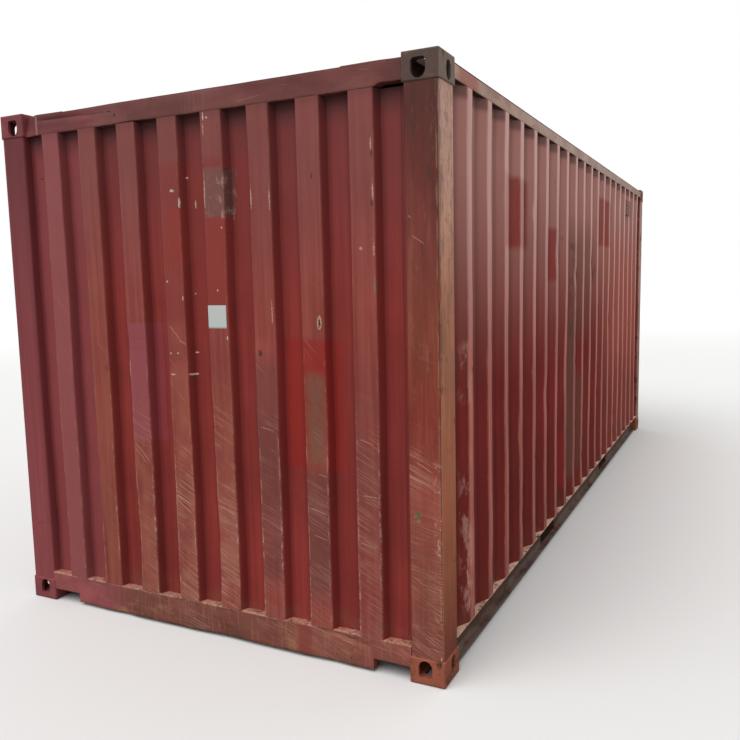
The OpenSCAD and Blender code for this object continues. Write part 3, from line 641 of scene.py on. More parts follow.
wall_line = ribbed(low.x, high.x, front_ribs, 0.0, rib_face, rib_slope, rib_pitch, high.y - low.y)
outline = bent(wall_line, sheet, bend) + np.array([0, low.y])
front_wall = swept("front_wall_sheet", outline, 2, np.linspace(low.z, high.z, front_rows), front_shape)


class WallPaint(Finish):
    """Red container paint on a ribbed wall: paler on the ribs' faces, partly chalky and partly painted sheen,
    and darker between them, partly dirt and partly painted shade.
    """

    def __init__(self, name, along, centre, pitch, face, slope, deep, faded, soft=0.003):
        super().__init__(name, deep, 0.55)
        self.u = self.x if along == "x" else self.y
        tall = (34, 1, 1.1) if along == "x" else (1, 34, 1.1)
        turned = (self.u - centre).math("PINGPONG", self.u - centre, pitch / 2)
        aside = self.s.math("WRAP", self.u - centre, pitch / 2, -pitch / 2)
        half = face / 2
        self.face = aside.step(-half - 0.006, -half + soft) * aside.step(half + 0.006, half - 0.003)
        self.fold = abs(turned - half + 0.003).step(0.0065, 0.0015)
        # Where shade falls at the foot of each slope, for painted shade.
        self.gutter_shade = abs(turned - half - slope).step(0.03, 0.0)
        self.wobble = self.noise(26, detail=4, shift=4) * 0.02 - 0.01
        self.streaks = self.noise(1.0, tall, detail=5, roughness=0.6)
        self.cloud = self.noise(1.7, detail=5, shift=8)
        speckle = self.noise(120, detail=3, roughness=0.7)
        # Paler on the faces than in the recesses: chalky paint, with painted sheen on the faces and painted
        # shade in the recesses.
        chalk_sheen_and_shade = self.face * (0.55 + 0.45 * self.streaks.step(0.3, 0.65))
        self.colour = chalk_sheen_and_shade.mix(deep, faded)
        self.tint(self.cloud.step(0.3, 0.7), 0.86, 1.12)
        self.tint(self.streaks.step(0.25, 0.75), 0.84, 1.14)
        self.tint(speckle, 0.9, 1.1)
        self.relief.append((self.noise(45, detail=2, shift=1), 0.00035))

    def patch(self, u0, u1, z0, z1, colour, strength, soft=0.012, on_face=1.0):
        mask = self.rectangle(u0, u1, z0, z1, soft, self.wobble)
        self.cover(mask * (strength * (1.0 - self.face * (1.0 - on_face))), colour)


def front_ground(look):
    """Darker and greyer towards the top, partly faded paint and partly painted shade under the header; plum
    at the left end, and stained down the faces of some ribs.
    """
    # Darker and greyer towards the top: partly faded paint, partly painted shade under the header.
    look.cover(look.z.step(1.5, 2.4) * 0.65, look.face.mix((0.185, 0.044, 0.044), (0.222, 0.072, 0.067)))
    plum = look.x.step(-0.66, -0.72)
    look.cover(plum * 0.85, look.face.mix((0.27, 0.058, 0.064), (0.295, 0.078, 0.082)))
    second = look.rectangle(-0.69, -0.56, 0.1, 1.75, 0.03) * look.face
    look.cover(second * look.noise(1, (30, 1, 1.8), shift=6).step(0.3, 0.6) * 0.5, (0.3, 0.092, 0.052))
    orange = look.rectangle(-0.46, 0.2, 0.1, 1.3, 0.05) * look.face
    look.cover(
        orange * look.noise(1, (14, 1, 3.0), detail=5, shift=26).step(0.35, 0.62) * 0.55,
        (0.35, 0.098, 0.062),
    )
    dusky = look.rectangle(0.28, 0.47, 0.33, 1.36, 0.07)
    dusky = dusky.high(look.rectangle(0.54, 0.74, 0.3, 0.92, 0.07)) * look.face
    uneven = 0.5 + 0.5 * look.noise(1, (9, 1, 2.5), shift=16).step(0.32, 0.6)
    look.cover(dusky * uneven * 0.78, (0.155, 0.048, 0.042))
    last = look.rectangle(0.8, 0.94, 0.55, 1.25, 0.08) * look.face
    look.cover(
        last * look.noise(1, (9, 1, 2.5), detail=5, shift=36).step(0.35, 0.62) * 0.55, (0.2, 0.066, 0.052),
    )


def front_patches(look):
    """Patches of fresh paint over old damage, and a dull square of old glue with pale flecks."""
    look.patch(-0.19, 0.33, 1.53, 2.27, (0.25, 0.034, 0.026), 0.55, 0.03)
    look.patch(0.06, 0.21, 1.62, 2.02, (0.29, 0.04, 0.03), 0.6)
    look.patch(-0.145, -0.05, 1.8, 2.06, (0.31, 0.042, 0.03), 0.55, 0.02)
    look.patch(0.45, 0.74, 0.88, 1.46, (0.3, 0.021, 0.016), 0.8, 0.02)
    scuffed = look.rectangle(0.58, 0.676, 0.89, 1.31, 0.03) * look.face
    scuffed = scuffed * look.noise(1, (26, 1, 12), detail=7, roughness=0.7, shift=46).step(0.26, 0.54)
    look.cover(scuffed * 0.88, (0.2, 0.088, 0.058))
    fresh_plum = look.face.mix((0.262, 0.042, 0.052), (0.305, 0.074, 0.086))
    look.patch(-0.44, -0.246, 0.946, 1.526, fresh_plum, 0.85, 0.004)
    look.strokes([(-0.42, z, -0.34, z, 0.0022) for z in (1.45, 1.4)], (0.17, 0.034, 0.034), 0.5)
    old_glue = look.face.mix((0.14, 0.066, 0.058), (0.2, 0.082, 0.07))
    look.patch(0.075, 0.212, 2.008, 2.228, old_glue, 0.85, 0.006)
    flecks = look.noise(1, (60, 1, 22), detail=8, roughness=0.75, shift=44).step(0.52, 0.62)
    flecks = look.rectangle(0.075, 0.215, 1.99, 2.21, 0.02) * flecks
    look.cover(flecks * (look.x.step(0.1, 0.2) * 0.45 + 0.1), (0.56, 0.38, 0.33))


def front_knocks(look):
    """Scrapes and worn edges on the lower halves of the ribs, most in the middle of the wall."""
    knocks = (
        (0.17, 0.03), (0.25, 0.05), (0.3125, 0.55), (0.42, 0.85), (0.56, 1.0), (0.66, 0.42), (0.81, 0.38),
        (0.9375, 0.6),
    )
    knock_stops = [(spot, (1, 1, 1, share)) for spot, share in knocks]
    amount = look.s.node("ValToRGB", out=1, ins={0: look.x * 0.5 + 0.5}, stops=knock_stops)
    hit = look.face * amount * (0.75 + 0.25 * look.streaks)
    for top, bottom, seed, lean, length, fine, least, strength, bow in (
        (1.3, 1.05, 2.0, 0.48, 3.2, 150, 0.53, 0.6, 0.08),
        (0.95, 0.7, 9.0, 0.32, 4.0, 210, 0.51, 0.55, 0.08),
        (0.6, 0.4, 14.0, 0.52, 4.5, 150, 0.55, 0.5, 0.1),
    ):
        look.scratches(look.z.step(top, bottom) * hit, seed, lean, fine, least, strength, length, bow)
    look.scratches(look.z.step(2.3, 1.2) * look.face, 17.0, lean=0.75, fine=120, least=0.66, strength=0.35)
    look.strokes((
        (-0.172, 1.52, -0.1, 1.44, 0.003), (-0.112, 1.446, -0.068, 1.425, 0.0035),
        (0.585, 0.711, 0.672, 0.684, 0.0035), (0.33, 1.059, 0.412, 1.043, 0.0025),
        (0.629, 0.868, 0.677, 0.857, 0.0022), (0.6, 0.588, 0.673, 0.57, 0.0022),
        (0.832, 1.039, 0.904, 1.018, 0.0022), (0.844, 0.794, 0.926, 0.79, 0.0025),
        (0.825, 0.584, 0.914, 0.562, 0.003), (0.088, 0.66, 0.17, 0.628, 0.004),
        (0.072, 0.366, 0.177, 0.325, 0.004), (-0.425, 0.93, -0.33, 0.83, 0.0035),
        (-0.43, 0.905, -0.345, 0.82, 0.0025), (-0.18, 0.69, -0.08, 0.64, 0.005),
        (-0.18, 0.665, -0.085, 0.6, 0.004),
    ), (0.56, 0.33, 0.25), 0.55)
    rub = look.noise(1, (60, 60, 16), detail=6, roughness=0.7, shift=13).step(0.5, 0.62)
    look.cover(look.fold * rub * (look.z.step(1.55, 0.8) * 0.45 + 0.12), (0.46, 0.23, 0.17))
    chipped = look.noise(1, (75, 75, 30), detail=6, roughness=0.75, shift=41).step(0.52, 0.58)
    chipped = chipped * look.noise(4, detail=2, shift=48).step(0.44, 0.56)
    chipped = look.fold * chipped * look.z.step(1.05, 0.45)
    look.cover(chipped * amount.high(look.x.step(-0.7, -0.66) * 0.45) * 0.9, (0.7, 0.5, 0.43))
    worn = look.noise(9, (1, 1, 0.6), detail=7, shift=19).step(0.5, 0.66)
    look.cover(worn * hit * look.z.step(1.3, 0.55) * 0.4, (0.38, 0.15, 0.105))


def front_shade_and_grime(look):
    """Painted shade between the ribs and painted shadow under the header, dirt at the foot, two welded seams
    and the pale sticker.
    """
    # Painted shade at the foot of each slope, between the ribs.
    look.cover(look.gutter_shade * (1 - look.face) * (0.25 + 0.25 * look.cloud), (0.1, 0.014, 0.013))
    # Painted shadow under the header, in the recesses and along its edge.
    header_shadow = look.z.step(2.34, 2.47) * (1 - look.face) + look.z.step(2.42, 2.48) * 0.4
    look.cover(header_shadow.low(1.0) * 0.62, (0.048, 0.022, 0.021))
    foot = look.z.step(0.3, 0.16) * look.noise(9, detail=6, shift=30).step(0.4, 0.66)
    look.cover(foot * 0.35, (0.2, 0.085, 0.06))
    seams = abs(look.x - 1.036).low(abs(look.x - 1.06)).step(0.0032, 0.0012)
    look.cover(seams * 0.6, (0.075, 0.014, 0.012))
    look.cover(look.rectangle(0.068, 0.17, 1.506, 1.61, 0.0012), (0.57, 0.61, 0.585), 0.4)
    look.cover(look.rectangle(0.068, 0.17, 1.504, 1.511, 0.0015) * 0.6, (0.3, 0.33, 0.32))


def front_chips(look):
    """Chips and spots in the paint, each in its place."""
    look.spots((
        (-0.11, 2.14, 0.022, 0.013), (-0.051, 2.198, 0.01, 0.01), (-0.072, 2.083, 0.008, 0.04),
        (-0.01, 2.076, 0.006, 0.034), (-0.165, 1.382, 0.01, 0.008), (-0.125, 1.384, 0.011, 0.008),
        (-0.04, 1.386, 0.02, 0.007), (0.162, 1.959, 0.007, 0.008), (-0.158, 1.282, 0.024, 0.008),
        (-0.052, 1.284, 0.03, 0.01), (-0.076, 1.642, 0.006, 0.022), (-0.035, 1.664, 0.007, 0.007),
        (-0.186, 1.93, 0.009, 0.01), (0.172, 1.46, 0.006, 0.02), (0.128, 1.678, 0.008, 0.008),
        (-0.165, 1.724, 0.008, 0.01), (0.087, 2.45, 0.006, 0.034), (0.106, 2.446, 0.008, 0.01),
    ), (0.58, 0.48, 0.42), 1.3)
    look.spots((
        (0.3265, 2.08, 0.007, 0.08), (0.4235, 2.066, 0.006, 0.076), (0.418, 1.575, 0.006, 0.085),
        (0.918, 2.246, 0.006, 0.06), (0.924, 2.07, 0.008, 0.06), (0.077, 2.12, 0.006, 0.14),
        (0.084, 2.395, 0.006, 0.05), (0.924, 1.84, 0.006, 0.06), (0.865, 1.84, 0.01, 0.014),
        (-0.43, 1.3, 0.006, 0.09),
    ), (0.47, 0.29, 0.225), 1.7)
    look.spots(((0.656, 1.534, 0.022, 0.06),), (0.5, 0.33, 0.22), 0.2)
    look.spots((
        (0.656, 1.534, 0.012, 0.044), (0.35, 1.395, 0.022, 0.03), (0.92, 2.22, 0.008, 0.03),
        (0.918, 2.02, 0.008, 0.024), (0.64, 2.15, 0.008, 0.028), (-0.585, 1.3, 0.008, 0.024),
        (-1.0, 2.264, 0.024, 0.01), (0.189, 2.218, 0.022, 0.008), (0.076, 2.236, 0.008, 0.012),
    ), (0.09, 0.036, 0.03))
    look.spots(((0.925, 1.69, 0.008, 0.075),), (0.19, 0.165, 0.095), 1.2)


def front_paint():
    look = WallPaint(
        "front_wall_paint", "x", rib_pitch / 2, rib_pitch, rib_face, rib_slope,
        deep=(0.262, 0.034, 0.028), faded=(0.29, 0.066, 0.052),
    )
    for plan in (front_ground, front_patches, front_knocks, front_shade_and_grime, front_chips):
        plan(look)
    look.rust(look.z.step(0.24, 0.16) * 0.22 + look.cloud * 0.1 - 0.04, seed=40, scale=12)
    return look.finish()


place(front_wall, front_paint(), "front_wall")

# Side walls: sheets of the same steel with wider, sloping ribs, welded end to end and to the rails.
# Cargo inside and boxes outside have bowed them, so that no rib is quite straight.
low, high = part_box("right_wall")
side_rows = 68
side_knock_count = 60
side_pitch = 0.278
side_face = 0.072
side_slope = 0.068
rib_shift = -0.025
rib_count = math.floor((high.y - low.y) / side_pitch)


def wall_shape(dents, hand, seed):
    """A side wall's dents and waves, as a function that moves its points."""
    def shape(p):
        y, z = p[:, 1], p[:, 2]
        held = np.clip((z - low.z) / 0.2, 0, 1) * np.clip((high.z - z) / 0.2, 0, 1)
        wave = 0.0016 * np.sin(2.1 * z + 1.3 * y + seed) + 0.0009 * np.sin(5.2 * z - 3.7 * y)
        wave += 0.0004 * np.sin(14 * z + 9 * y)
        deep = np.maximum(0, hollows(y, z, dents) + (wave + 0.0025) * held)
        p[:, 0] -= hand * deep
        middle = np.sin(math.pi * (z - low.z) / (high.z - low.z))
        sway = 0.0011 * np.sin(2.9 * z + 7.1 * np.round(y / side_pitch) + seed) * middle
        p[:, 1] += sway * held
        return p
    return shape


right_dents = [
    (-2.67, 1.3, 0.03, 0.12, 0.007), (-2.7, 0.45, 0.022, 0.16, 0.012), (-1.84, 0.86, 0.045, 0.1, 0.008),
    (-0.73, 1.14, 0.05, 0.2, 0.006), (-1.0, 1.85, 0.05, 0.08, 0.006), (-1.25, 1.0, 0.1, 0.1, 0.005),
    (-0.45, 1.7, 0.06, 0.05, 0.008), (0.2, 1.8, 0.08, 0.06, 0.008), (1.0, 1.4, 0.3, 0.3, 0.007),
    (-2.17, 2.3, 0.02, 0.06, 0.008), (-2.16, 2.11, 0.018, 0.04, 0.009), (-1.89, 2.08, 0.018, 0.04, 0.009),
    (-1.58, 2.07, 0.018, 0.05, 0.008),
]
left_dents = [
    (-1.9, 0.8, 0.06, 0.15, 0.012), (-0.3, 1.5, 0.2, 0.25, 0.01), (0.8, 0.5, 0.05, 0.12, 0.014),
    (1.7, 1.2, 0.15, 0.3, 0.01), (2.3, 1.9, 0.06, 0.08, 0.012), (-2.5, 1.9, 0.06, 0.1, 0.01),
]
for dents in (right_dents, left_dents):
    for _ in range(side_knock_count):
        rib = rib_shift + (luck.randrange(rib_count) - (rib_count - 1) / 2) * side_pitch
        edge = rib + luck.choice((-0.036, 0.036))
        dents.append((edge,) + knock((0.22, 1.5), (0.01, 0.018), (0.02, 0.06), (0.001, 0.0035)))
side_line = ribbed(low.y, high.y, rib_count, rib_shift, side_face, side_slope, side_pitch, high.x - low.x)


def side_paint(name, seed, patches, plan):
    # The faces' pale tone is partly chalky paint, partly a painted sheen of the sky at a glancing view.
    look = WallPaint(
        name, "y", rib_shift + side_pitch / 2, side_pitch, side_face, side_slope,
        deep=(0.215, 0.023, 0.019), faded=(0.64, 0.185, 0.148), soft=0.03,
    )
    # Darker towards the bottom: partly redder paint, partly painted shade for the dark ground that the low
    # wall faces.
    look.cover(look.z.step(1.0, 0.3) * 0.42, look.face.mix((0.135, 0.018, 0.014), (0.36, 0.12, 0.09)))
    # Paler towards the top: partly dust, partly a painted sheen of the bright sky on faces and slopes.
    dust_and_sheen = look.z.step(1.1, 2.45)
    look.cover(dust_and_sheen * 0.95, look.face.mix((0.52, 0.245, 0.208), (0.88, 0.52, 0.46)))
    red_end = look.y.step(0.1, 1.6) * look.z.step(2.3, 1.7) * (0.45 + 0.55 * look.z.step(0.6, 1.3))
    look.cover(red_end * 0.65, look.face.mix((0.52, 0.15, 0.112), (0.76, 0.3, 0.23)))
    tan = look.noise(1.0, (1, 6, 0.8), detail=4, shift=seed).step(0.5, 0.72)
    look.cover(tan * look.face * 0.3, (0.43, 0.2, 0.14))
    for u0, u1, z0, z1, colour, strength in patches:
        look.patch(u0, u1, z0, z1, colour, strength, 0.024, 0.45)
    look.scratches(look.z.step(1.6, 1.0) * look.face, seed + 2, lean=0.2, fine=120, least=0.62, strength=0.3)
    rub = look.noise(1, (50, 50, 14), detail=6, roughness=0.65, shift=seed + 3).step(0.5, 0.66)
    look.cover(look.fold * rub * 0.4, (0.7, 0.36, 0.3))
    blotches = look.noise(16, (1, 1, 0.5), detail=7, roughness=0.72, shift=seed + 4).step(0.48, 0.6)
    battered = look.rectangle(-2.745, -2.65, 0.16, 0.95, 0.035)
    battered = battered.high(look.rectangle(-2.745, -2.62, 1.18, 1.42, 0.035))
    look.cover(battered * blotches * (0.5 + 0.3 * look.fold), (0.72, 0.4, 0.32))
    low_wear = look.noise(11, (1, 1, 0.5), detail=7, shift=seed + 9).step(0.5, 0.64)
    look.cover(low_wear * look.face * look.z.step(1.4, 0.5) * 0.45, (0.5, 0.19, 0.14))
    # Painted shade at the foot of each slope, between the ribs.
    look.cover(look.gutter_shade * (1 - look.face) * 0.3, (0.06, 0.012, 0.01))
    # Painted shadow under the top rail, across the top of each recess.
    rail_shadow = look.z.step(2.44, 2.475) * (1 - look.face)
    look.cover(rail_shadow * 0.55, (0.04, 0.019, 0.017))
    foot = look.z.step(0.36, 0.16) * look.noise(6, detail=6, shift=seed + 5).step(0.38, 0.62)
    look.cover(foot * 0.4, (0.13, 0.052, 0.036))
    plan(look)
    look.rust(look.z.step(0.28, 0.16) * 0.3 + look.cloud * 0.1 - 0.02, seed=seed + 20, scale=8)
    return look.finish(specular=0.12)


def right_marks(look):
    brown = look.rectangle(-0.7, -0.34, 0.3, 1.45, 0.09)
    brown = brown.high(look.rectangle(-0.34, 0.02, 0.3, 1.0, 0.09) * 0.7)
    brown = brown.high(look.rectangle(-0.62, 0.3, 1.3, 2.05, 0.12) * 0.55)
    look.cover(brown * (0.5 + 0.45 * look.streaks) * (1 - look.face * 0.6), (0.165, 0.076, 0.055))
    dirt = look.noise(14, (1, 1, 0.7), detail=8, roughness=0.65, shift=50).step(0.46, 0.64)
    dirty = None
    for u0, u1, z0, z1 in (
        (-0.55, -0.25, 1.3, 1.95), (0.15, 0.35, 1.66, 1.88), (-2.66, -2.5, 0.16, 0.36),
        (-1.25, -1.12, 0.16, 0.34),
    ):
        zone = look.rectangle(u0, u1, z0, z1, 0.05)
        dirty = dirty.high(zone) if dirty else zone
    look.cover(dirty * dirt * 0.5, (0.07, 0.034, 0.027))


def left_marks(look):
    dirt = look.noise(12, (1, 1, 2), detail=7, shift=60).step(0.46, 0.6)
    for u0, u1, z0, z1 in ((0.9, 1.5, 1.2, 1.6), (-1.4, -1.1, 0.5, 1.0)):
        look.cover(look.rectangle(u0, u1, z0, z1, 0.08) * dirt * 0.6, rust_brown)


fresh = (0.29, 0.02, 0.018)
right_patches = [
    (-2.12, -1.64, 1.86, 2.22, fresh, 0.75), (-1.26, -1.0, 1.68, 2.0, fresh, 0.7),
    (0.4, 1.14, 1.94, 2.32, fresh, 0.65), (-0.98, -0.74, 0.3, 0.66, fresh, 0.7),
]
left_patches = [
    (-2.3, -1.8, 0.6, 1.1, fresh, 0.7), (-0.9, -0.3, 1.7, 2.1, fresh, 0.7), (1.1, 1.6, 0.3, 0.8, fresh, 0.6),
]
for name, hand, dents, patches, marks, seed in (
    ("right_wall", 1, right_dents, right_patches, right_marks, 1.0),
    ("left_wall", -1, left_dents, left_patches, left_marks, 4.0),
):
    outline = bent(side_line, sheet, bend, steps=3)
    outline = np.stack([hand * (high.x - outline[:, 1]), outline[:, 0]], axis=1)
    rows = np.linspace(low.z, high.z, side_rows)
    wall = swept(name + "_sheet", outline, 2, rows, wall_shape(dents, hand, seed))
    place(wall, side_paint(name + "_paint", seed, patches, marks), name)

# Front header: a box section across the top of the front wall, between the fittings. A spreader has
# crushed its left end back against the roof, and a crease with a small tear runs on from there.


def tube(a0, a1, b0, b1, radius, spacing=0.011):
    """A closed rectangle with round corners, with points all along its sides."""
    points = []
    for a, b, first in ((a0, b0, 180), (a1, b0, 270), (a1, b1, 0), (a0, b1, 90)):
        ca = a + radius if a == a0 else a - radius
        cb = b + radius if b == b0 else b - radius
        for k in range(4):
            turn = math.radians(first + 30 * k)
            points.append((ca + radius * math.cos(turn), cb + radius * math.sin(turn)))
    full = []
    for p, q in zip(points, points[1:] + points[:1]):
        count = max(1, round(math.dist(p, q) / spacing))
        full += [(p[0] + (q[0] - p[0]) * k / count, p[1] + (q[1] - p[1]) * k / count) for k in range(count)]
    return full


def eased(value, start, end):
    """0 at start and 1 at end for an array, smooth between them."""
    t = np.clip((value - start) / (end - start), 0, 1)
    return t * t * (3 - 2 * t)


head_low, head_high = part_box("front_header")
header_cuts = 190


def header_shape(p):
    x, y, z = p[:, 0].copy(), p[:, 1].copy(), p[:, 2].copy()
    front = np.clip((head_high.y - y) / (head_high.y - head_low.y), 0, 1)
    tall = np.clip((z - head_low.z) / (head_high.z - head_low.z), 0, 1)
    crushed = 0.034 * eased(x, -0.955, -1.035) * (0.35 + 0.65 * tall) + 0.005 * eased(x, 0.975, 1.01)
    along = eased(x, -0.99, -0.9) * eased(x, -0.45, -0.62)
    crease = 0.006 * along * np.exp(-(((z - 2.54 + 0.02 * (x + 0.7)) / 0.008) ** 2))
    sag = 0.006 * np.exp(-(((x + 0.72) / 0.22) ** 2)) + 0.003 * np.exp(-(((x - 0.3) / 0.15) ** 2))
    wave = 0.0011 * np.sin(9 * x + 2) + 0.0008 * np.sin(23 * x + 40 * z)
    p[:, 1] += front * (crushed + crease + sag + wave + 0.0019)
    bent_up = 0.014 * eased(x, 0.925, 0.965) + 0.004 * np.exp(-(((x + 0.35) / 0.1) ** 2))
    p[:, 2] += (1 - tall) * bent_up + 0.0012 * np.sin(14 * x) * tall * (1 - tall) * 4
    return p


outline = tube(head_low.y, head_high.y, head_low.z, head_high.z, 0.003)
stations = np.linspace(head_low.x, head_high.x, header_cuts)
header = swept("front_header_box", outline, 0, stations, header_shape, paired=False)


def header_plan(look):
    look.colour = look.ramp(
        look.x * 0.47 + 0.5,
        (0.0, (0.2, 0.052, 0.056)), (0.2, (0.205, 0.054, 0.056)), (0.26, (0.18, 0.06, 0.054)),
        (0.45, (0.185, 0.062, 0.056)), (0.95, (0.165, 0.048, 0.044)), (1.0, (0.105, 0.038, 0.034)),
    )
    look.clouded(0.8, 1.15, 5, (1, 1, 2), detail=6, shift=3)
    blotch = look.noise(6, (0.7, 1, 1.5), detail=7, shift=12)
    look.cover(blotch.step(0.5, 0.62) * 0.3, (0.105, 0.03, 0.028))
    look.cover(blotch.step(0.46, 0.36) * 0.3, (0.27, 0.11, 0.088))
    wash = look.noise(1, (60, 60, 2), detail=5, shift=9).step(0.48, 0.62)
    look.cover(wash * look.rectangle(-0.06, 0.1, 2.46, 2.6, 0.04) * 0.22, (0.33, 0.17, 0.145))
    line = look.z + look.x * 0.02
    # A dark line along the crease: painted shade in the fold.
    fold = abs(line - 2.5275).step(0.005, 0.0015) * look.rectangle(-0.99, -0.5, 2.4, 2.6, 0.02)
    look.cover(fold * 0.45, (0.07, 0.02, 0.02))
    look.scratches(look.x.step(-1.0, -0.2) * 0.8, 3.0, lean=0.1, length=3, fine=130, least=0.64, strength=0.4)
    weld = look.rectangle(-0.972, -0.96, 2.47, 2.57, 0.004)
    look.cover(weld * 0.75, (0.38, 0.22, 0.185))
    tears = ((-0.471, 2.536, 0.026, 0.007), (-0.208, 2.56, 0.014, 0.006), (-0.436, 2.516, 0.012, 0.016))
    look.spots(tears, (0.055, 0.024, 0.021), 0.6)
    under = look.z.step(2.482, 2.473)
    look.cover(under * look.noise(16, detail=6, shift=15).step(0.35, 0.6) * 0.7, (0.07, 0.028, 0.02))


place(header, steel("header_paint", seen_as(113, 69, 68), 0.1, 12.0, header_plan), "front_header")

# Front sill: the box section under the front wall, cut out beside each fitting for a handling hook.
# Its lower edge has been dragged over rough ground, and dirt and weld spatter lie on its ledge.
low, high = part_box("front_sill")
notch_x, notch_z = 0.882, 0.0625
sill_dents = (
    (-0.55, 0.02, 0.05, 0.03, 0.004), (0.12, 0.015, 0.1, 0.03, 0.004), (0.7, 0.02, 0.06, 0.03, 0.005),
    (-0.2, 0.15, 0.03, 0.02, 0.005),
)


def sill_shape(p):
    x, y, z = p[:, 0].copy(), p[:, 1].copy(), p[:, 2].copy()
    front = (high.y - y) / (high.y - low.y)
    foot = eased(z, 0.085, low.z)
    wave = 0.0012 * np.sin(8 * x + 1) + 0.001 * np.sin(21 * x + 30 * z)
    crease = np.exp(-(((z - 0.16 + 0.16 * (x - 0.6)) / 0.01) ** 2))
    fold = 0.007 * eased(x, 0.58, 0.64) * eased(x, 0.9, 0.84) * crease
    knocks = hollows(x, z, sill_dents)
    held = np.clip((1.055 - np.abs(x)) / 0.05, 0, 1)
    p[:, 1] += front * held * np.maximum(0, wave + fold + knocks + 0.0022)
    lift = 0.0012 * np.sin(5.3 * x + 0.6) + 0.001 * np.sin(13 * x) + 0.0008 * np.sin(31 * x + 1)
    p[:, 2] += foot * np.maximum(0, lift + 0.002) * (np.abs(x) < notch_x + 0.001)
    return p


parts = []
for x0, x1, z0 in ((low.x, -notch_x, notch_z), (-notch_x, notch_x, low.z), (notch_x, high.x, notch_z)):
    stations = np.linspace(x0, x1, max(8, round((x1 - x0) / 0.012)))
    outline = tube(low.y, high.y, z0, high.z, 0.005)
    parts.append(swept("front_sill_box", outline, 0, stations, sill_shape, paired=False))


def joined(name, pieces):
    """One object with the meshes of all these objects, which share one place."""
    work = bmesh.new()
    for piece in pieces:
        work.from_mesh(piece.data)
        bpy.data.objects.remove(piece)
    mesh = bpy.data.meshes.new(name)
    work.to_mesh(mesh)
    work.free()
    return added(name, mesh)


def sill_plan(look):
    look.colour = look.ramp(
        look.x * 0.47 + 0.5,
        (0.0, (0.32, 0.084, 0.088)), (0.2, (0.32, 0.084, 0.086)), (0.27, (0.2, 0.064, 0.047)),
        (0.55, (0.205, 0.064, 0.047)), (0.8, (0.275, 0.086, 0.062)), (1.0, (0.275, 0.076, 0.06)),
    )
    look.clouded(0.8, 1.16, 7, (1, 1, 1.5), detail=7, shift=3)
    streak = look.noise(1, (60, 60, 4), detail=6, roughness=0.65, shift=22)
    worn = (look.x + look.noise(6, detail=6, shift=27) * 0.16).step(-0.6, -0.48)
    look.cover(streak.step(0.5, 0.64) * worn * 0.35, (0.4, 0.19, 0.125))
    mud = look.noise(5, (1, 1, 1.6), detail=8, roughness=0.65, shift=8) + look.z.step(0.14, 0.03) * 0.05
    look.cover(mud.step(0.54, 0.68) * worn * 0.4, (0.17, 0.072, 0.048))
    tan = look.noise(6, (1, 1, 1.4), detail=8, roughness=0.6, shift=33).step(0.54, 0.64)
    look.cover(tan * worn * look.z.step(0.12, 0.07) * 0.55, (0.42, 0.2, 0.105))
    look.scratches(look.x.step(-1.0, -0.6), 3.0, lean=0.15, length=3, fine=170, least=0.58, strength=0.4)
    look.scratches(look.x.step(-0.6, 0.2), 5.0, lean=0.35, length=5, fine=190, least=0.54, strength=0.5)
    look.cover(look.rectangle(0.5, 0.57, 0.0, 0.16, 0.01) * 0.6, (0.25, 0.042, 0.036))
    ledge = look.z.step(0.152, 0.1565)
    spatter = look.noise(38, detail=7, roughness=0.75, shift=14)
    look.cover(ledge * spatter.step(0.4, 0.56) * 0.85, (0.47, 0.25, 0.18))
    look.cover(ledge * spatter.step(0.42, 0.34) * 0.8, (0.07, 0.03, 0.02))
    edge = look.z.step(0.032, 0.018)
    look.cover(edge * look.noise(20, detail=6, shift=16).step(0.4, 0.6) * 0.5, rust_brown)


sill_look = steel("sill_paint", seen_as(115, 69, 60), 0.14, 15.0, sill_plan)
place(joined("front_sill_sheet", parts), sill_look, "front_sill")

# Side rails: a square tube along the top of each side wall, and a channel along its foot that takes
# the floor's cross members. Dust, knocks and a painted sky sheen make the top ones pale, with painted
# shadow on their undersides; rust and dirt have browned the others, and painted shade darkens them.


def top_rail_plan(look):
    look.u = look.y
    # Pale all along: partly dust, partly a painted sheen of the sky along the tube.
    look.colour = look.ramp(
        look.y * 0.17 + 0.5,
        (0.0, (0.62, 0.4, 0.32)), (0.12, (0.6, 0.39, 0.31)), (0.5, (0.58, 0.4, 0.33)),
        (1.0, (0.52, 0.34, 0.28)),
    )
    look.clouded(0.8, 1.12, 5, (1, 1, 1), detail=7, shift=3)
    rubbed = look.noise(4, (1, 0.6, 2), detail=7, shift=9)
    look.cover(rubbed.step(0.54, 0.66) * 0.4, (0.36, 0.15, 0.115))
    red = look.rectangle(-2.8, -2.55, 2.45, 2.6, 0.05)
    look.cover(red * rubbed.step(0.3, 0.5) * 0.8, (0.48, 0.17, 0.13))
    grime = look.noise(18, (1, 0.5, 1), detail=8, roughness=0.7, shift=15)
    look.cover(grime.step(0.58, 0.68) * 0.45, (0.22, 0.125, 0.095))
    # Near-black where the faces turn down: painted shadow under the rail.
    normal = look.s.node("NewGeometry", out="Normal")
    under = look.s.node("SeparateXYZ", out=2, ins={0: normal}).step(-0.6, -0.9)
    look.cover(under * 0.95, (0.022, 0.013, 0.012))


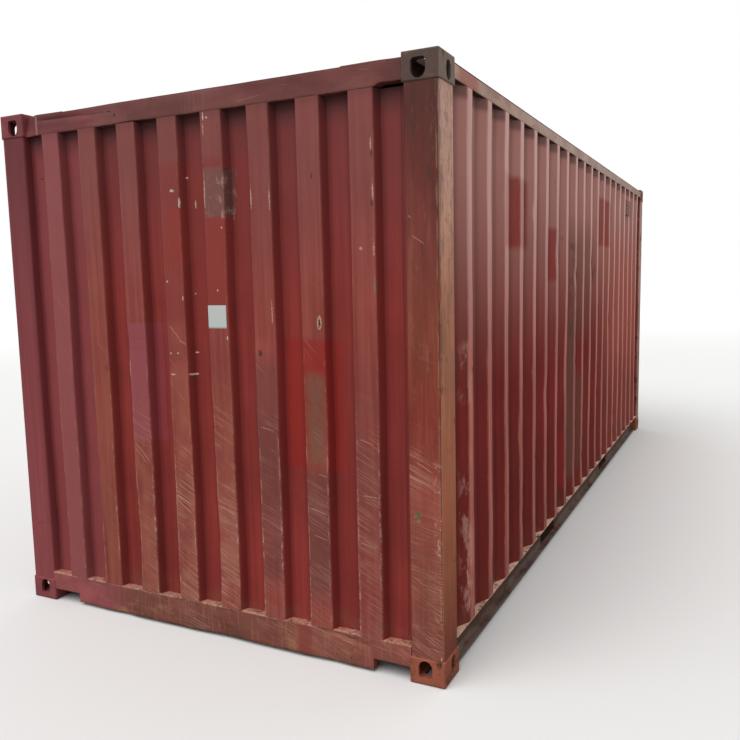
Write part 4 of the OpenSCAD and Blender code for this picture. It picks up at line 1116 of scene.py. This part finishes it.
def bottom_rail_plan(look):
    look.clouded(0.75, 1.18, 5, detail=7, shift=3)
    mud = look.noise(4, (1, 0.8, 1.5), detail=8, roughness=0.65, shift=8)
    look.cover(mud.step(0.46, 0.62) * 0.5, (0.16, 0.072, 0.046))
    near = look.y.step(-2.35, -2.6) * look.z.step(0.145, 0.156)
    splash = look.noise(60, (1, 0.6, 1), detail=6, roughness=0.7, shift=31)
    # Near-black over most of the channel: partly caked dirt, partly painted shade in the recessed web.
    grime_and_shade = 0.88 - splash * 0.3
    look.cover(grime_and_shade, splash.step(0.35, 0.65).mix((0.024, 0.018, 0.015), (0.055, 0.042, 0.034)), 0.8)
    ledge = look.z.step(0.1475, 0.1525)
    look.cover(ledge * 0.92, (0.82, 0.54, 0.43))
    look.cover(ledge * look.noise(26, detail=7, shift=13).step(0.54, 0.66) * 0.45, (0.38, 0.21, 0.15))
    look.cover(near * mud.step(0.6, 0.4) * 0.8, (0.56, 0.33, 0.17))
    hem = look.z.step(0.058, 0.05) * look.noise(9, (1, 0.4, 1), detail=6, shift=37).step(0.34, 0.56)
    look.cover(hem * 0.55, (0.24, 0.195, 0.165))


top_rail_look = steel("top_rail_paint", seen_as(165, 128, 116), 0.02, 18.0, top_rail_plan, specular=0.15)
bottom_rail_look = steel("bottom_rail_paint", (0.3, 0.115, 0.08), 0.3, 21.0, bottom_rail_plan, scale=6)
dress(top_rail_look, "left_top_rail", "right_top_rail")
dress(bottom_rail_look, "left_bottom_rail", "right_bottom_rail")

# Roof: sheets with stamped cross corrugations, welded to the rails and to a flat plate at each end.
# Water stands between the corrugations, so the paint is chalky there, with rings of rust.


def roof_plan(look):
    pools = look.noise(2.2, (1, 0.35, 1), detail=7, shift=4)
    look.cover(pools.step(0.46, 0.62) * 0.55, (0.3, 0.15, 0.125))
    look.cover(pools.step(0.4, 0.3) * 0.45, (0.15, 0.044, 0.036))
    crowns = look.z.step(2.578, 2.584)
    look.cover(crowns * look.noise(9, detail=7, shift=11).step(0.4, 0.6) * 0.5, (0.19, 0.042, 0.032))
    seam = look.rectangle(-1.215, -1.19, 2.0, 2.7, 0.01)
    seam = seam + look.rectangle(1.19, 1.215, 2.0, 2.7, 0.01)
    look.cover(seam * look.noise(11, detail=7, shift=19).step(0.38, 0.58) * 0.7, rust_brown)
    rings = abs(look.noise(5, detail=6, shift=23) - 0.6).step(0.03, 0.006)
    look.cover(rings * pools.step(0.48, 0.6) * 0.5, rust_orange)


def reshaped(name, node, stations, shape):
    """A copy of a node's mesh, cut across at each station along X so that it can bend there."""
    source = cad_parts[node]
    work = bmesh.new()
    work.from_mesh(source.data)
    work.transform(source.matrix_world)
    for x in stations:
        geometry = work.verts[:] + work.edges[:] + work.faces[:]
        bmesh.ops.bisect_plane(work, geom=geometry, dist=1e-6, plane_co=(x, 0, 0), plane_no=(1, 0, 0))
    moved = shape(np.array([tuple(v.co) for v in work.verts]))
    for vert, point in zip(work.verts, moved):
        vert.co = point
    mesh = bpy.data.meshes.new(name)
    work.to_mesh(mesh)
    work.free()
    return smoothed(name, mesh)


roof_dent_count = 26
roof_dents = [
    knock((-0.8, 0.8), (-2.5, 2.5), (0.12, 0.35), (0.2, 0.5), (0.002, 0.008)) for _ in range(roof_dent_count)
]


def roof_shape(p):
    held = eased(np.abs(p[:, 0]), 1.06, 0.92) * eased(np.abs(p[:, 1]), 2.82, 2.62)
    p[:, 2] -= held * hollows(p[:, 0], p[:, 1], roof_dents)
    return header_shape(p)


roof_look = steel("roof_paint", (0.25, 0.085, 0.068), 0.16, 24.0, roof_plan)
stations = np.concatenate([np.linspace(-1.035, -0.925, 9), np.linspace(-0.9, 1.02, 40)])
place(reshaped("roof_sheet", "roof", stations, roof_shape), roof_look, "roof")
plate_look = steel("corner_plate_paint", (0.23, 0.08, 0.064), 0.34, 27.0, old_paint, scale=12)
plates = reshaped("roof_corner_plate_set", "roof_corner_plates", stations, header_shape)
place(plates, plate_look, "roof_corner_plates")

# Underframe and floor: pressed cross members and two fork pockets under a dark coat of bitumen, and
# thick plywood boards that are screwed down to them.


def bitumen_plan(look):
    look.clouded(0.7, 1.25, 3, detail=6, shift=3)
    look.cover(look.noise(4, detail=7, shift=8).step(0.52, 0.68) * 0.5, (0.12, 0.085, 0.062))


bitumen = steel("bitumen", (0.06, 0.028, 0.022), 0.3, 30.0, bitumen_plan)
dress(bitumen, "cross_members", "front_fork_pocket", "rear_fork_pocket")


def plywood():
    look = Finish("plywood_floor", (0.23, 0.12, 0.055), 0.55)
    grain = look.noise(1, (70, 2.2, 70), detail=7, roughness=0.6)
    look.tint(grain.step(0.3, 0.7), 0.72, 1.18)
    plies = abs((look.z * 450).math("PINGPONG", look.z * 450, 1.0) - 0.5).step(0.1, 0.3)
    look.tint(plies, 0.8, 1.06)
    look.cover(look.noise(2.5, detail=7, shift=5).step(0.5, 0.7) * 0.5, (0.075, 0.048, 0.032), 0.7)
    look.scratches(look.noise(3, shift=7).step(0.4, 0.6), 3.0, lean=1.4, fine=60, least=0.64, strength=0.3)
    return look.finish(specular=0.3)


dress(plywood(), "floor_boards", slot="plywood")

# Door end: two leaves of square tube and ribbed sheet between a header and a sill, each with a thick
# rubber gasket that fills the gap round it. The photo doesn't show this end, so its wear is plain.


def door_plan(look):
    look.cover(look.z.step(1.2, 2.4) * 0.35, (0.25, 0.085, 0.068))
    drips = look.noise(1, (45, 1, 1.1), detail=6, roughness=0.65, shift=6)
    look.cover(drips.step(0.54, 0.66) * 0.45, (0.12, 0.045, 0.028))
    look.cover(look.noise(12, detail=8, shift=33).step(0.62, 0.69) * 0.5, pale_scratch)
    look.scratches(look.z.step(1.8, 1.2), 3.0, lean=0.7, fine=80, least=0.63, strength=0.5)
    low_mud = look.z.step(0.6, 0.17) * look.noise(5, detail=7, shift=7).step(0.35, 0.65)
    look.cover(low_mud * 0.5, (0.18, 0.078, 0.05))


for name, colour, level, seed, plan, nodes in (
    ("door_paint", (0.235, 0.052, 0.042), 0.1, 33, door_plan, ("left_door_panel", "right_door_panel")),
    ("door_frame_paint", (0.225, 0.056, 0.046), 0.16, 36, door_plan, ("left_door_frame", "right_door_frame")),
    ("door_end_paint", (0.215, 0.064, 0.052), 0.22, 39, old_paint, ("rear_header", "rear_sill")),
):
    dress(steel(name, colour, level, seed, plan), *nodes)


def rubber():
    look = Finish("door_rubber", (0.022, 0.021, 0.021), 0.65)
    look.cover(look.noise(9, detail=7).step(0.42, 0.66) * 0.6, (0.11, 0.075, 0.062))
    return look.finish(specular=0.3)


dress(rubber(), "left_door_gasket", "right_door_gasket", slot="door_rubber")

# Door gear: forged hinges on stout pins, and four lock bars in bolted guides, whose cams turn into
# keepers on the header and sill. All of it is galvanised, and it has gone dull with rust runs.


def zinc(name, seed, level):
    look = Finish(name, (0.33, 0.315, 0.3), 0.42)
    spangle = look.s.node("TexVoronoi", ins={"Vector": look.place, "Scale": 130.0})
    look.tint(spangle.step(0.1, 0.6), 0.86, 1.08)
    look.clouded(0.72, 1.1, 3, detail=6, shift=seed)
    runs = look.noise(1, (50, 50, 2), detail=6, roughness=0.65, shift=seed + 4)
    look.cover(runs.step(0.5, 0.64) * 0.5, (0.15, 0.066, 0.038), 0.75)
    overspray = look.noise(7, detail=7, shift=seed + 9).step(0.5, 0.62)
    look.cover(overspray * 0.45, (0.2, 0.058, 0.048), 0.6)
    heart = look.rust(look.noise(3, shift=seed + 12) * 0.3 + level, seed=seed + 15, scale=14)
    return look.finish(metallic=0.75 - heart * 0.7 - overspray * 0.05, specular=0.4)


for name, seed, level, nodes in (
    ("hinge_zinc", 1.0, 0.16, ("left_door_hinges", "right_door_hinges")),
    ("bar_zinc", 5.0, 0.06, ("left_lock_bars", "right_lock_bars")),
    ("bracket_zinc", 9.0, 0.16, ("left_bar_brackets", "right_bar_brackets", "cam_keepers")),
):
    dress(zinc(name, seed, level), *nodes, slot="galvanised_steel")

# Ventilators: moulded covers on the side walls, one near the door end on the right and one near the
# front end on the left. They were painted once with the wall and have faded more than it has.


def vent_plan(look):
    look.cover(look.noise(6, detail=7, shift=4).step(0.45, 0.65) * 0.4, (0.33, 0.12, 0.095))


vent_look = steel("ventilator_paint", (0.4, 0.175, 0.145), 0.02, 42.0, vent_plan, specular=0.2)
dress(vent_look, "left_ventilator", "right_ventilator")
